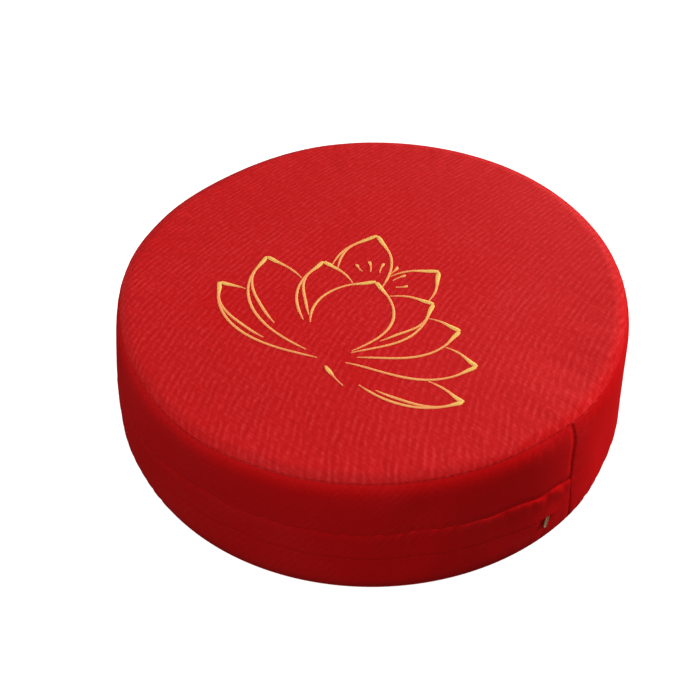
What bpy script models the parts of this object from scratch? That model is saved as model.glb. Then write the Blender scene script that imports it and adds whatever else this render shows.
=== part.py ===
"""A boxed zafu: a round, firmly filled floor cushion with flat faces and a straight side band.

Everything is in metres, +Z up, with the origin under the middle of the cushion on the surface it rests
on. An azimuth is an angle in degrees round the cushion: 0 is the front (-Y) and 90 is the right (+X).
"""

import math

import bpy

# ---- Driving dimensions --------------------------------------------------------------------------

SEAM_RADIUS = 0.1967  # the round seams between the faces and the side band
BAND_SWELL = 0.0033  # how far the filling pushes the band out past the seams
BAND_FULLNESS = 6  # higher means a straighter band with a tighter roll at each seam
BOTTOM_SEAM_HEIGHT = 0.0050
TOP_SEAM_HEIGHT = 0.1125
FACE_ROLL = 0.0140  # the width over which a face rolls down into its seam
TOP_ROLL_HEIGHT = 0.0045
TOP_CROWN = 0.0030  # how far the middle of the top stands above the roll

CLOTH = 0.0015  # one layer of the linen-look cover
GAP = 0.0003  # between neighbouring pieces
ROUND_STEPS = 72

ZIP_SIDE_START = -133.5  # the hidden upright seam
ZIP_SIDE_END = 46.5  # the upright seam that shows on the right
UPRIGHT_SEAM_HALF_WIDTH = 0.04  # degrees
UPRIGHT_ROLL_WIDTH = 0.8  # degrees over which the plain band rolls into the upright seam
UPRIGHT_ROLL_DEPTH = 0.0010
STRIP_END_CLEARANCE = 0.10  # degrees, about GAP at this radius

FLAP_INSIDE = 0.0014  # the flap's back face, inside the band's own surface
FLAP_OVERLAP_TOP = 0.0030  # the lower strip ends this far below the crease, behind the flap
LOWER_STRIP_DIP = FLAP_INSIDE + GAP
LOWER_STRIP_DIP_START = 0.0080  # below the flap's free edge
LOWER_STRIP_DIP_END = 0.0010
CREASE_TUCK = 0.0012  # how deep the upper strip dips into the crease
CREASE_TUCK_HEIGHT = 0.0070

PULL_AZIMUTH = 39.5
PULL_HEIGHT = 0.0254
PULL_LENGTH = 0.0110
PULL_WIDTH = 0.0046
PULL_THICKNESS = 0.0012
PULL_LEAN = math.radians(30)  # its top leans right
PULL_STAND_OFF = math.radians(11)  # its lower end stands out from the band
PULL_INNER_RADIUS = 0.19955  # at the middle of its back face
FLAP_LIFT = 0.0024  # the flap's free edge gapes here to let the pull out
FLAP_LIFT_WIDTH = 5.0  # degrees

# The top seam isn't level: rise is its height over TOP_SEAM_HEIGHT.
SEAM_LINE = (
    # azimuth, rise
    (-95, 0.0000),
    (-43, -0.0028),
    (-26, 0.0000),
    (5, 0.0015),
    (30, 0.0015),
    (44, 0.0000),
    (60, -0.0035),
    (75, -0.0020),
    (100, 0.0000),
)

# The flap droops towards the upright seam and rises a little left of the front.
FLAP_LINE = (
    # azimuth, crease height, free edge height
    (ZIP_SIDE_START, 0.0600, 0.0330),
    (-75, 0.0600, 0.0330),
    (-57, 0.0605, 0.0340),
    (-44, 0.0655, 0.0380),
    (-36, 0.0685, 0.0400),
    (-30, 0.0660, 0.0415),
    (-17, 0.0658, 0.0390),
    (0, 0.0640, 0.0375),
    (10, 0.0655, 0.0380),
    (20, 0.0633, 0.0360),
    (30, 0.0600, 0.0330),
    (PULL_AZIMUTH, 0.0565, 0.0298),
    (ZIP_SIDE_END, 0.0545, 0.0280),
)

# The flap's outer face: a puffed lip under the crease, then nearly flat to the rounded free edge.
FLAP_FACE = (
    # way down from crease to free edge (0 to 1), how proud of the band
    (0.000, -0.0008),
    (0.050, 0.0011),
    (0.140, 0.0019),
    (0.330, 0.0011),
    (0.620, 0.0007),
    (0.930, 0.0006),
    (1.000, -0.0002),
)
FLAP_BACK = (0.985, 0.500, 0.020)  # ways down where the back face has its points

COVER_RED = (0.55, 0.012, 0.014, 1.0)
PULL_BRONZE = (0.30, 0.17, 0.085, 1.0)

# ---- Shape functions -----------------------------------------------------------------------------

BAND_MIDDLE = (TOP_SEAM_HEIGHT + BOTTOM_SEAM_HEIGHT) / 2
BAND_HALF_HEIGHT = (TOP_SEAM_HEIGHT - BOTTOM_SEAM_HEIGHT) / 2
FLAT_RADIUS = SEAM_RADIUS - FACE_ROLL
BAND_TOP = TOP_SEAM_HEIGHT - GAP / 2
BAND_BOTTOM = BOTTOM_SEAM_HEIGHT + GAP / 2
FACE_RINGS = (100 / 183, 150 / 183)  # fractions of FLAT_RADIUS
ROLL_STEPS = 3
FILLING_SETBACK = CLOTH + GAP  # the filling lies this far behind a cloth's outer face
LEDGE_EXTRA = 0.0001  # keeps the filling's ledge behind a face's edge from having no width
LEDGE_RADIUS = SEAM_RADIUS - FILLING_SETBACK - LEDGE_EXTRA
ZIP_SIDE_STEPS = 36


def eased(value, low, high):
    """0 below low, 1 above high, and a smooth S between."""
    share = min(max((value - low) / (high - low), 0.0), 1.0)
    return share * share * (3 - 2 * share)


def read_off(table, azimuth, column):
    """The table's column at this azimuth, eased from row to row and level past both ends."""
    azimuth = (azimuth + 180) % 360 - 180
    if azimuth <= table[0][0]:
        return table[0][column]
    for before, after in zip(table, table[1:]):
        if azimuth <= after[0]:
            share = eased(azimuth, before[0], after[0])
            return before[column] + share * (after[column] - before[column])
    return table[-1][column]


def band_radius(height):
    """The band's outer face: SEAM_RADIUS at both seams, swelling by BAND_SWELL half way up."""
    share = abs(height - BAND_MIDDLE) / BAND_HALF_HEIGHT
    return SEAM_RADIUS + BAND_SWELL * (1 - min(share, 1.0) ** BAND_FULLNESS)


def crease_height(azimuth):
    return read_off(FLAP_LINE, azimuth, 1)


def free_edge_height(azimuth):
    return read_off(FLAP_LINE, azimuth, 2)


def upper_strip_radius(height, azimuth):
    crease = crease_height(azimuth)
    tuck = CREASE_TUCK * (1 - eased(height, crease, crease + CREASE_TUCK_HEIGHT))
    return band_radius(height) - tuck


def lower_strip_radius(height, azimuth):
    edge = free_edge_height(azimuth)
    dip = LOWER_STRIP_DIP * eased(height, edge - LOWER_STRIP_DIP_START, edge - LOWER_STRIP_DIP_END)
    return band_radius(height) - dip


def filling_radius(height, azimuth):
    """Behind the zip side's strips the filling steps in by the cloth that lies over it."""
    if height > crease_height(azimuth):
        return upper_strip_radius(height, azimuth) - FILLING_SETBACK
    return lower_strip_radius(height, azimuth) - FILLING_SETBACK


def settled(radius, height, azimuth):
    """The point in space, with the top seam's unevenness spread over the cloth near that seam."""
    near_seam = eased(height, BAND_MIDDLE, TOP_SEAM_HEIGHT) * eased(radius, 0.12, FLAT_RADIUS)
    angle = math.radians(azimuth)
    rise = read_off(SEAM_LINE, azimuth, 1)
    return radius * math.sin(angle), -radius * math.cos(angle), height + rise * near_seam


def rolled_edge(seam_height, roll_height, inset, upwards, extra=0.0):
    """A face's roll as (radius, height), from its flat rim to the seam: a quarter of an ellipse.

    inset moves the curve in from the face's outer side, and extra moves only its seam end further in.
    """
    side = 1 if upwards else -1
    points = []
    for step in range(ROLL_STEPS + 1):
        turn = math.radians(90) * step / ROLL_STEPS
        out = (FACE_ROLL - inset - extra) * math.sin(turn)
        lift = (roll_height - inset) * math.cos(turn)
        points.append((FLAT_RADIUS + out, seam_height + side * (GAP / 2 + lift)))
    return points


def top_face(inset, extra=0.0):
    """The top's profile from its middle to the seam, inset from its outer side."""
    rim = TOP_SEAM_HEIGHT + GAP / 2 + TOP_ROLL_HEIGHT
    profile = []
    for share in (0.0, *FACE_RINGS):
        profile.append((share * FLAT_RADIUS, rim + TOP_CROWN * (1 - share**2) - inset))
    return profile + rolled_edge(TOP_SEAM_HEIGHT, TOP_ROLL_HEIGHT, inset, True, extra)


def bottom_face(inset, extra=0.0):
    """The underside's profile: flat where it rests, then rolled up to its seam."""
    roll_height = BOTTOM_SEAM_HEIGHT - GAP / 2
    roll = rolled_edge(BOTTOM_SEAM_HEIGHT, roll_height, inset, False, extra)
    return [(0.0, inset)] + roll


# ---- Mesh helpers --------------------------------------------------------------------------------


def cloth_material(name, colour, roughness, metallic):
    material = bpy.data.materials.new(name)
    material.diffuse_color = colour
    material.use_nodes = True
    shader = material.node_tree.nodes["Principled BSDF"]
    shader.inputs["Base Color"].default_value = colour
    shader.inputs["Roughness"].default_value = roughness
    shader.inputs["Metallic"].default_value = metallic
    return material


def add_object(name, points, faces, material):
    mesh = bpy.data.meshes.new(name)
    mesh.from_pydata(points, [], faces)
    mesh.validate()
    mesh.materials.append(material)
    mesh.shade_smooth()
    mesh.set_sharp_from_angle(angle=math.radians(35))
    thing = bpy.data.objects.new(name, mesh)
    bpy.context.scene.collection.objects.link(thing)
    return thing


def two_triangles(here, there, after_there, after_here, rising):
    """Splits a patch of cloth the same way on each piece, so that neighbours keep their gap.

    The split runs from the patch's lower or outer edge in this column to its upper or inner edge in the
    next, and rising says that the points named after are the upper or inner ones.
    """
    if rising:
        return [(here, there, after_there), (here, after_there, after_here)]
    return [(here, there, after_here), (there, after_there, after_here)]


def turned_solid(name, azimuths, profile_at, material):
    """A solid whose profile runs from the axis underneath, round the outside, to the axis on top."""
    profiles = [profile_at(azimuth) for azimuth in azimuths]
    count = len(profiles[0]) - 2
    points = [settled(*profiles[0][0], 0.0), settled(*profiles[0][-1], 0.0)]
    for azimuth, profile in zip(azimuths, profiles):
        points += [settled(radius, height, azimuth) for radius, height in profile[1:-1]]
    faces = []
    for column, profile in enumerate(profiles):
        inwards = [height - radius for radius, height in profile[1:-1]]
        here = 2 + column * count
        there = 2 + (column + 1) % len(azimuths) * count
        faces.append((0, there, here))
        for row in range(count - 1):
            corners = (here + row, there + row, there + row + 1, here + row + 1)
            faces += two_triangles(*corners, inwards[row + 1] > inwards[row])
        faces.append((here + count - 1, there + count - 1, 1))
    return add_object(name, points, faces, material)


def strip_solid(name, azimuths, section_at, material):
    """A strip of the band: a closed section, outer face first and top to bottom, carried round."""
    sections = [section_at(azimuth) for azimuth in azimuths]
    count = len(sections[0])
    points = []
    for azimuth, section in zip(azimuths, sections):
        points += [settled(radius, height, azimuth) for radius, height in section]
    faces = [tuple(range(count))[::-1]]
    for column, section in enumerate(sections[:-1]):
        inwards = [height - radius for radius, height in section]
        here = column * count
        there = here + count
        for row in range(count):
            after = (row + 1) % count
            corners = (here + row, there + row, there + after, here + after)
            for triangle in two_triangles(*corners, inwards[after] > inwards[row]):
                faces.append(triangle[::-1])
    last = (len(azimuths) - 1) * count
    faces.append(tuple(range(last, last + count)))
    return add_object(name, points, faces, material)


def spread(start, stop, steps):
    return [start + (stop - start) * step / steps for step in range(steps + 1)]


# ---- Pieces --------------------------------------------------------------------------------------


def upper_levels(azimuth):
    """Heights down the upper strip, which the filling behind it shares."""
    crease = crease_height(azimuth)
    under_seam = [BAND_TOP - below for below in (0, 0.005, 0.012, 0.022)]
    return under_seam + [crease + above for above in (CREASE_TUCK_HEIGHT, 0.0035, 0.0005)]


def lower_levels(azimuth):
    """Heights down the lower strip from just under the flap's edge, which the filling shares."""
    edge = free_edge_height(azimuth)
    under_edge = [edge - below for below in (LOWER_STRIP_DIP_END, 0.0045, LOWER_STRIP_DIP_START)]
    return under_edge + [BAND_BOTTOM + above for above in (0.012, 0.005, 0)]


def plain_side_azimuths():
    """From the upright seam round the back, with a column where the band has rolled into each seam."""
    start = ZIP_SIDE_END + UPRIGHT_SEAM_HALF_WIDTH
    stop = ZIP_SIDE_START + 360 - UPRIGHT_SEAM_HALF_WIDTH
    azimuths = spread(start, stop, ROUND_STEPS - ZIP_SIDE_STEPS)
    azimuths.insert(1, start + UPRIGHT_ROLL_WIDTH)
    azimuths.insert(-1, stop - UPRIGHT_ROLL_WIDTH)
    return azimuths


def zip_side_azimuths(clearance=0.0):
    azimuths = spread(
        ZIP_SIDE_START + UPRIGHT_SEAM_HALF_WIDTH,
        ZIP_SIDE_END - UPRIGHT_SEAM_HALF_WIDTH,
        ZIP_SIDE_STEPS,
    )
    azimuths[0] += clearance
    azimuths[-1] -= clearance
    return azimuths


def filled_cushion(material):
    """The filling in its plain band: its own side shows from the upright seam round the back."""
    plain_side = plain_side_azimuths()
    rolled = (plain_side[0], plain_side[-1])
    underneath = bottom_face(FILLING_SETBACK, LEDGE_EXTRA)
    on_top = top_face(FILLING_SETBACK, LEDGE_EXTRA)[::-1]

    def profile_at(azimuth):
        levels = upper_levels(azimuth) + [crease_height(azimuth) - GAP] + lower_levels(azimuth)
        side = []
        for height in reversed(levels):
            if azimuth < ZIP_SIDE_END:
                radius = filling_radius(height, azimuth)
            else:
                radius = band_radius(height) - UPRIGHT_ROLL_DEPTH * (azimuth in rolled)
            side.append((radius, height))
        ledges = [(LEDGE_RADIUS, height) for height in (BAND_BOTTOM, BAND_TOP)]
        return underneath + ledges[:1] + side + ledges[1:] + on_top

    azimuths = zip_side_azimuths() + plain_side
    return turned_solid("filled_cushion", azimuths, profile_at, material)


def round_panel(name, face, underneath, material):
    """A face of the cushion: one layer of cloth, rolled over at its rim."""
    outer, inner = face(0.0), face(CLOTH)
    profile = outer + inner[::-1] if underneath else inner + outer[::-1]
    azimuths = zip_side_azimuths() + plain_side_azimuths()
    return turned_solid(name, azimuths, lambda azimuth: profile, material)


def cloth_section(heights, radius_at):
    """One layer of cloth as a closed section: its outer face down, and its inner face back up."""
    outer = [(radius_at(height), height) for height in heights]
    inner = [(radius - CLOTH, height) for radius, height in outer]
    return outer + inner[::-1]


def upper_strip(strip_azimuths, material):
    def section_at(azimuth):
        heights = upper_levels(azimuth)
        return cloth_section(heights, lambda height: upper_strip_radius(height, azimuth))

    return strip_solid("zip_side_upper", strip_azimuths, section_at, material)


def lower_strip(strip_azimuths, material):
    def section_at(azimuth):
        heights = [crease_height(azimuth) - FLAP_OVERLAP_TOP] + lower_levels(azimuth)
        return cloth_section(heights, lambda height: lower_strip_radius(height, azimuth))

    return strip_solid("zip_side_lower", strip_azimuths, section_at, material)


def flap(strip_azimuths, material):
    """A folded strip: its lip is sewn in at the crease, and its lower edge hangs free."""

    def section_at(azimuth):
        crease = crease_height(azimuth) - GAP
        drop = crease - free_edge_height(azimuth)
        near_pull = math.exp(-(((azimuth - PULL_AZIMUTH) / FLAP_LIFT_WIDTH) ** 2))
        section = []
        for way_down, proud in FLAP_FACE:
            height = crease - way_down * drop
            lift = FLAP_LIFT * near_pull * way_down**2
            section.append((band_radius(height) + proud + lift, height))
        for way_down in FLAP_BACK:
            height = crease - way_down * drop
            lift = FLAP_LIFT * near_pull * way_down**2
            section.append((band_radius(height) - FLAP_INSIDE + lift, height))
        return section

    return strip_solid("zip_side_flap", strip_azimuths, section_at, material)


def zip_pull(material):
    """A small plate with round ends, leaning, with its lower end standing out."""
    half_straight = (PULL_LENGTH - PULL_WIDTH) / 2
    end_steps = 6
    outline = []
    for side in (1, -1):
        for turn in spread(-math.pi / 2, math.pi / 2, end_steps):
            across = PULL_WIDTH / 2 * math.sin(turn) * side
            along = (half_straight + PULL_WIDTH / 2 * math.cos(turn)) * side
            outline.append((across, along))
    points = [(across, depth, along) for depth in (0.0, PULL_THICKNESS) for across, along in outline]
    count = len(outline)
    faces = [tuple(range(count))[::-1], tuple(range(count, 2 * count))]
    for corner in range(count):
        after = (corner + 1) % count
        faces.append((corner, after, count + after, count + corner))
    pull = add_object("zip_pull", points, faces, material)
    rounding = pull.modifiers.new("edge rounding", "BEVEL")
    rounding.width = 0.0002
    rounding.segments = 1
    rounding.limit_method = "ANGLE"
    angle = math.radians(PULL_AZIMUTH)
    pull.rotation_mode = "XYZ"
    pull.rotation_euler = (PULL_STAND_OFF, -PULL_LEAN, angle + math.pi)
    pull.location = (
        PULL_INNER_RADIUS * math.sin(angle),
        -PULL_INNER_RADIUS * math.cos(angle),
        PULL_HEIGHT,
    )
    return pull


def build():
    for thing in list(bpy.data.objects):
        bpy.data.objects.remove(thing, do_unlink=True)
    cloth = cloth_material("red linen-look cover cloth", COVER_RED, 0.85, 0.0)
    bronze = cloth_material("bronze zip pull", PULL_BRONZE, 0.35, 1.0)
    filled_cushion(cloth)
    round_panel("top_panel", top_face, False, cloth)
    round_panel("bottom_panel", bottom_face, True, cloth)
    strip_azimuths = zip_side_azimuths(STRIP_END_CLEARANCE)
    upper_strip(strip_azimuths, cloth)
    flap(strip_azimuths, cloth)
    lower_strip(strip_azimuths, cloth)
    zip_pull(bronze)


build()
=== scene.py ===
# %% [markdown]
# # A round boxed floor cushion in red slub cloth
#
# The real thing is a disc of firm foam in a tight cover: a round top and a round bottom, joined by a
# straight side band. Half of the band holds the zip, which a folded flap hides. A lotus is embroidered in
# gold on the top. The frame gives every size and place, and this script gives the looks: one smooth form
# of the filled cover, the cloth pieces cut from that form, the stitches, and the materials.
#
# All lengths are in metres. An azimuth is an angle in degrees round the cushion: 0 is the front, which is
# -Y, and 90 is the right, which is +X.

# %% Load the frame
import functools
import math

import bpy
import numpy as np
from mathutils import Euler, Matrix, Quaternion, Vector


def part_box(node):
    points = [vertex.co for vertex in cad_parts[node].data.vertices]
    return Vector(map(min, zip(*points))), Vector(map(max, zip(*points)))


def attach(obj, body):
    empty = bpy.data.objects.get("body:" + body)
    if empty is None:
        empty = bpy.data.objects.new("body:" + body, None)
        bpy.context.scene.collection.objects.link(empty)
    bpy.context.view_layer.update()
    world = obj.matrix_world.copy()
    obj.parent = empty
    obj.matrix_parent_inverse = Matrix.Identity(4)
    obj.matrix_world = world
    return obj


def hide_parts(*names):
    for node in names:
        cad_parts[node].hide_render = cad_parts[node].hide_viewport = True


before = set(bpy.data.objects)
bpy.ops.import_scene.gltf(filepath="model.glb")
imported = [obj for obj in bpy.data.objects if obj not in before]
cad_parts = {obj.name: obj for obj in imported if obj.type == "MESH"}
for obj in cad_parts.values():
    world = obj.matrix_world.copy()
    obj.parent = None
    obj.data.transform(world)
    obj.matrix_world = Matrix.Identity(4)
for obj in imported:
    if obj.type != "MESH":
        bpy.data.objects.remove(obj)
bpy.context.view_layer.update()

print("nodes in the frame:", sorted(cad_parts))

# %% [markdown]
# ## Sizes
#
# The seam radius, the band's radius and the height are read from the frame's own nodes, so that the cloth
# cannot drift away from the solids that it stands for. The rest are the maker's sizes: how high the two
# round seams are, how wide the faces roll into them, and how thick one layer of the cover is.

# %% Sizes from the frame and from the pattern
panel_low, panel_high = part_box("top_panel")
_, band_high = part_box("filled_cushion")
SEAM_RADIUS = (panel_high[0] - panel_low[0]) / 2
BAND_SWELL = band_high[0] - SEAM_RADIUS
TOP_HEIGHT = panel_high[2]

BOTTOM_SEAM = 0.0032
TOP_SEAM = 0.1125
BAND_MIDDLE = (TOP_SEAM + BOTTOM_SEAM) / 2
BAND_HALF = (TOP_SEAM - BOTTOM_SEAM) / 2
BAND_FULLNESS = 10
FACE_ROLL = 0.0115
FLAT_RADIUS = SEAM_RADIUS - FACE_ROLL
TOP_CROWN = 0.0030

CLOTH = 0.0012
GAP = 0.0003
SEAM_GAP = 0.00008  # the top seam is pulled tighter than the others
SEAM_FOLD = 0.00022  # the radius of the folds at the top seam
SOFT_FOLD = 0.5  # the share of it that the soft side takes off
LIP = 0.0012  # the radius of the fold where a cut edge turns in at a seam
TURNED_IN = 0.0015  # how much of the turned edge is made beyond its fold
BEHIND = 0.0045  # the filling lies this far behind the zip side's strips

ZIP_SIDE_START = -133.5
ZIP_SIDE_END = 46.5
MM = 0.001

print(f"seam radius {SEAM_RADIUS:.4f}, band swell {BAND_SWELL:.4f}, height {TOP_HEIGHT:.4f}")

# %% [markdown]
# ## Tables for what isn't even
#
# Nothing sewn is exact. The top seam wanders up and down by a few millimetres, the left side has gone
# soft, and the flap over the zip droops towards the upright seam. Each is a short table with a row for
# each place where the line bends, and the values between rows are eased. All start with an azimuth.

# %% The seam's, the outline's and the flap's tables
SEAM_LINE = (  # how far the top seam stands above its usual height
    (-95, 0.0000), (-43, -0.0018), (-26, 0.0000), (5, 0.0000), (30, -0.0004),
    (44, -0.0010), (60, -0.0035), (75, -0.0020), (100, 0.0000),
)
# How softly the top rolls over into the band there, with no ridge at its seam (0 to 1).
SOFT_SIDE = ((-112, 0.0), (-80, 1.0), (-60, 1.0), (-28, 0.0))
OUTLINE = (  # how far the cover stands outside a true round, near its top and near its foot
    (-180, 0.0012, -0.0002), (-172, 0.0010, -0.0006), (-140, -0.0032, -0.0014),
    (-120, -0.0018, -0.0010), (-95, 0.0002, 0.0012), (-80, 0.0000, 0.0024),
    (-60, -0.0004, 0.0002), (-40, 0.0000, 0.0000), (-10, 0.0010, 0.0000),
    (40, 0.0014, 0.0000), (49, 0.0014, 0.0000), (66, -0.0012, -0.0022),
    (82, -0.0014, -0.0014), (110, -0.0008, -0.0010), (150, 0.0010, -0.0005),
    (180, 0.0012, -0.0002),
)
FLAP_LINE = (  # crease height, free edge height
    (ZIP_SIDE_START, 0.0600, 0.0330), (-75, 0.0600, 0.0330), (-57, 0.0605, 0.0340),
    (-44, 0.0655, 0.0380), (-36, 0.0685, 0.0400), (-30, 0.0660, 0.0415),
    (-17, 0.0658, 0.0390), (0, 0.0640, 0.0375), (10, 0.0655, 0.0380),
    (20, 0.0633, 0.0360), (30, 0.0600, 0.0330), (39.5, 0.0565, 0.0298),
    (ZIP_SIDE_END, 0.0545, 0.0280),
)
THREAD_PULLS = (  # how much the top seam's thread draws in the cloth (1), or lets it stand out (-1)
    (-50, 0.0), (-18, 1.0), (36, 1.0), (50, -0.8), (66, -0.8), (90, 0.1), (150, 0.1),
)
SEAMS_SHOW = (  # how much the crease and the flap's edges stand out (0 to 1)
    (ZIP_SIDE_START, 0.20), (-80, 0.10), (-45, 0.08), (-12, 0.08),
    (2, 0.16), (15, 0.26), (26, 0.50), (40, 0.80),
)


def eased(value, low, high):
    """0 below low, 1 above high, and the cubic 3s^2 - 2s^3 of the share s between."""
    share = np.clip((value - low) / (high - low), 0.0, 1.0)
    return share * share * (3 - 2 * share)


def bell(value, middle, reach):
    """1 at the middle, falling off to both sides as e^-((value - middle) / reach)^2."""
    return np.exp(-(((value - middle) / reach) ** 2))


def read_off(table, azimuth, column):
    """A table's column at each azimuth, eased from row to row and level past both ends."""
    rows = np.array(table, float)
    azimuth = (azimuth + 180) % 360 - 180
    before = np.clip(np.searchsorted(rows[:, 0], azimuth, side="right") - 1, 0, len(rows) - 2)
    share = eased(azimuth, rows[before, 0], rows[before + 1, 0])
    return rows[before, column] + share * (rows[before + 1, column] - rows[before, column])


def crowded(count, power):
    """Shares from 0 to 1 that crowd towards 1: 1 - (1 - t)^power."""
    return 1 - (1 - np.linspace(0, 1, count)) ** power


def round_noise(angle, fewest, most, seed):
    """Seeded unevenness along a closed round: a sum of cosines with fewest to most waves in 360 degrees.

    Each wave has a random size and start, and the sum is scaled to a standard deviation of 1.
    """
    angle = np.asarray(angle, float)
    random = np.random.default_rng(seed)
    waves = np.arange(fewest, most + 1)
    sizes = random.normal(size=len(waves))
    starts = random.uniform(0, 2 * np.pi, len(waves))
    turns = np.multiply.outer(np.radians(angle), waves) + starts
    return (np.cos(turns) * sizes).sum(-1) / np.sqrt((sizes**2).sum() / 2)


# %% [markdown]
# ## The form of the filled cover
#
# Seen in section, the band is a superellipse, which gives a straight side and a tight shoulder at each
# seam. The top is nearly flat and falls to its seam as a power of the way there, so it meets the band at
# a soft angle. All the cloth pieces are cut from these two curves, so neighbours meet without fitting.

# %% Section curves
SHOULDER = 0.0012  # an extra draw-in at the top seam, where the thread pulls the cloth
SHOULDER_REACH = 0.0032
ROLL_FULLNESS = 2.4
TUCK = 0.0020  # how far the band curls in under the cushion
TUCK_FROM = 0.0100


def band_out(height):
    """How far the band stands out from the seams: swell * (1 - share^10) for the share of the way to one.

    At its foot it also curls in along a quarter of an ellipse, TUCK wide and TUCK_FROM high.
    """
    share = np.minimum(np.abs(height - BAND_MIDDLE) / BAND_HALF, 1.0)
    curl = TUCK * (1 - np.sqrt(1 - np.clip(1 - height / TUCK_FROM, 0, 1) ** 2))
    return BAND_SWELL * (1 - share**BAND_FULLNESS) - curl


def thread_pull(distance, azimuth):
    """How far the top seam's thread draws cloth in, at a distance from the seam: SHOULDER e^-(d / reach)."""
    pull = SHOULDER * np.exp(-np.maximum(distance, 0) / SHOULDER_REACH)
    return pull * read_off(THREAD_PULLS, azimuth, 1)


def top_section(radius, fold=LIP):
    """The top's height at a radius: its crown, then share^fullness down to the top of the seam's fold."""
    seam_top = TOP_SEAM + SEAM_GAP / 2 + fold
    share = np.clip((radius - FLAT_RADIUS) / FACE_ROLL, 0.0, 1.0)
    crown = TOP_CROWN * (1 - np.minimum(radius / FLAT_RADIUS, 1.0) ** 2)
    shoulder = TOP_HEIGHT - TOP_CROWN
    return shoulder - (shoulder - seam_top) * share**ROLL_FULLNESS + crown


# %% [markdown]
# A used cushion is also a little out of round, and its left side has sagged: the top seam lies further in
# and lower there, so that the face and the band meet in one wide roll. All of that is one last step from
# (radius, height, azimuth) to a point in space, which every piece takes, so they still meet.

# %% How the cover has settled
SOFT_IN = 0.0036  # on the soft side the top seam lies this much further in
SOFT_DOWN = 0.0012  # and this much lower
SOFT_INSIDE = SEAM_RADIUS - 0.0170  # the face begins to give way there
SOFT_BELOW = 0.0550  # and the band above there
SOFT_FACE_POWER, SOFT_BAND_POWER = 2, 1.3
STEADY_INSIDE = 0.12  # inside this radius the faces stay as they are
UPPER_FROM, UPPER_TO = 0.02, 0.11  # the outline's foot changes into its top between these heights


def settled(radius, height, azimuth):
    """The points in space, with the seam's wandering, the soft side and the outline spread over the cloth."""
    near_seam = eased(height, BAND_MIDDLE, TOP_SEAM) * eased(radius, STEADY_INSIDE, FLAT_RADIUS)
    lift = read_off(SEAM_LINE, azimuth, 1) * near_seam
    on_face = np.clip((radius - SOFT_INSIDE) / (SEAM_RADIUS - SOFT_INSIDE), 0, 1)
    up_band = np.clip((height - SOFT_BELOW) / (TOP_SEAM - SOFT_BELOW), 0, 1)
    soft = read_off(SOFT_SIDE, azimuth, 1) * on_face**SOFT_FACE_POWER * up_band**SOFT_BAND_POWER
    angle = np.radians(azimuth)
    upper = eased(height, UPPER_FROM, UPPER_TO)
    round_at = read_off(OUTLINE, azimuth, 1) * upper + read_off(OUTLINE, azimuth, 2) * (1 - upper)
    out = radius - SOFT_IN * soft + round_at * eased(radius, STEADY_INSIDE, SEAM_RADIUS)
    return np.stack([out * np.sin(angle), -out * np.cos(angle), height + lift - SOFT_DOWN * soft], -1)


# %% [markdown]
# ## From numbers to a mesh
#
# Every piece here is a grid: rows run down the section and columns run round the cushion. One function
# turns such an array into a mesh, closes it round the back or at a pole where it has to, and writes a UV
# map that measures the flat cloth in metres, so that the weave follows the cloth and not the room.

# %% Grid to mesh


def grid_parts(points, cloth, closed_round=False, first_pole=False, last_pole=False):
    """A grid's points, its faces' corners, the corners in each face, and each corner's cloth metres.

    It takes arrays of points (rows, columns, 3) and of the cloth's own metres (rows, columns, 2). A quad
    joins each point to the next in its row and the two below, wound so that it faces out when rows run
    from the top's middle outwards and down. The last column is the first again if closed_round, and a
    pole is a row whose points are all one.
    """
    rows, columns = points.shape[:2]
    place = np.arange(rows * columns).reshape(rows, columns)
    index = place.copy()
    if closed_round:
        index[:, -1] = index[:, 0]
    for row, pole in ((0, first_pole), (rows - 1, last_pole)):
        if pole:
            index[row] = index[row, 0]
    corners, places = (
        np.stack([table[:-1, :-1], table[1:, :-1], table[1:, 1:], table[:-1, 1:]], -1)
        for table in (index, place)
    )
    bands = [(slice(first_pole, rows - 1 - last_pole), [0, 1, 2, 3])]
    bands += [(slice(0, 1), [0, 1, 2])] if first_pole else []
    bands += [(slice(rows - 2, rows - 1), [0, 1, 3])] if last_pole else []
    loops = np.concatenate([corners[part][..., keep].ravel() for part, keep in bands])
    marks = np.concatenate([places[part][..., keep].ravel() for part, keep in bands])
    sizes = np.concatenate([np.full(corners[part][..., 0].size, len(keep)) for part, keep in bands])
    used, loops = np.unique(loops, return_inverse=True)
    return points.reshape(-1, 3)[used], loops.ravel(), sizes, cloth.reshape(-1, 2)[marks]


def placed(name, data):
    """A new object in the scene."""
    thing = bpy.data.objects.new(name, data)
    bpy.context.scene.collection.objects.link(thing)
    return thing


def mesh_of(name, grids, material):
    """One object from the parts of one or more grids."""
    firsts = np.cumsum([0] + [len(grid[0]) for grid in grids[:-1]])
    points = np.concatenate([grid[0] for grid in grids])
    loops = np.concatenate([grid[1] + first for grid, first in zip(grids, firsts)])
    sizes = np.concatenate([grid[2] for grid in grids])
    mesh = bpy.data.meshes.new(name)
    mesh.vertices.add(len(points))
    mesh.vertices.foreach_set("co", points.astype(np.float32).ravel())
    mesh.loops.add(len(loops))
    mesh.loops.foreach_set("vertex_index", loops.astype(np.int32))
    mesh.polygons.add(len(sizes))
    mesh.polygons.foreach_set("loop_start", (np.cumsum(sizes) - sizes).astype(np.int32))
    mesh.update(calc_edges=True)
    flat = mesh.uv_layers.new(name="cloth")
    flat.uv.foreach_set("vector", np.concatenate([grid[3] for grid in grids]).astype(np.float32).ravel())
    mesh.shade_smooth()
    if material:
        mesh.materials.append(material)
    return placed(name, mesh)


def grid_mesh(name, points, cloth, material, *closing):
    """One object from one grid, closed round and at its poles as grid_parts says."""
    return mesh_of(name, [grid_parts(points, cloth, *closing)], material)


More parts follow.
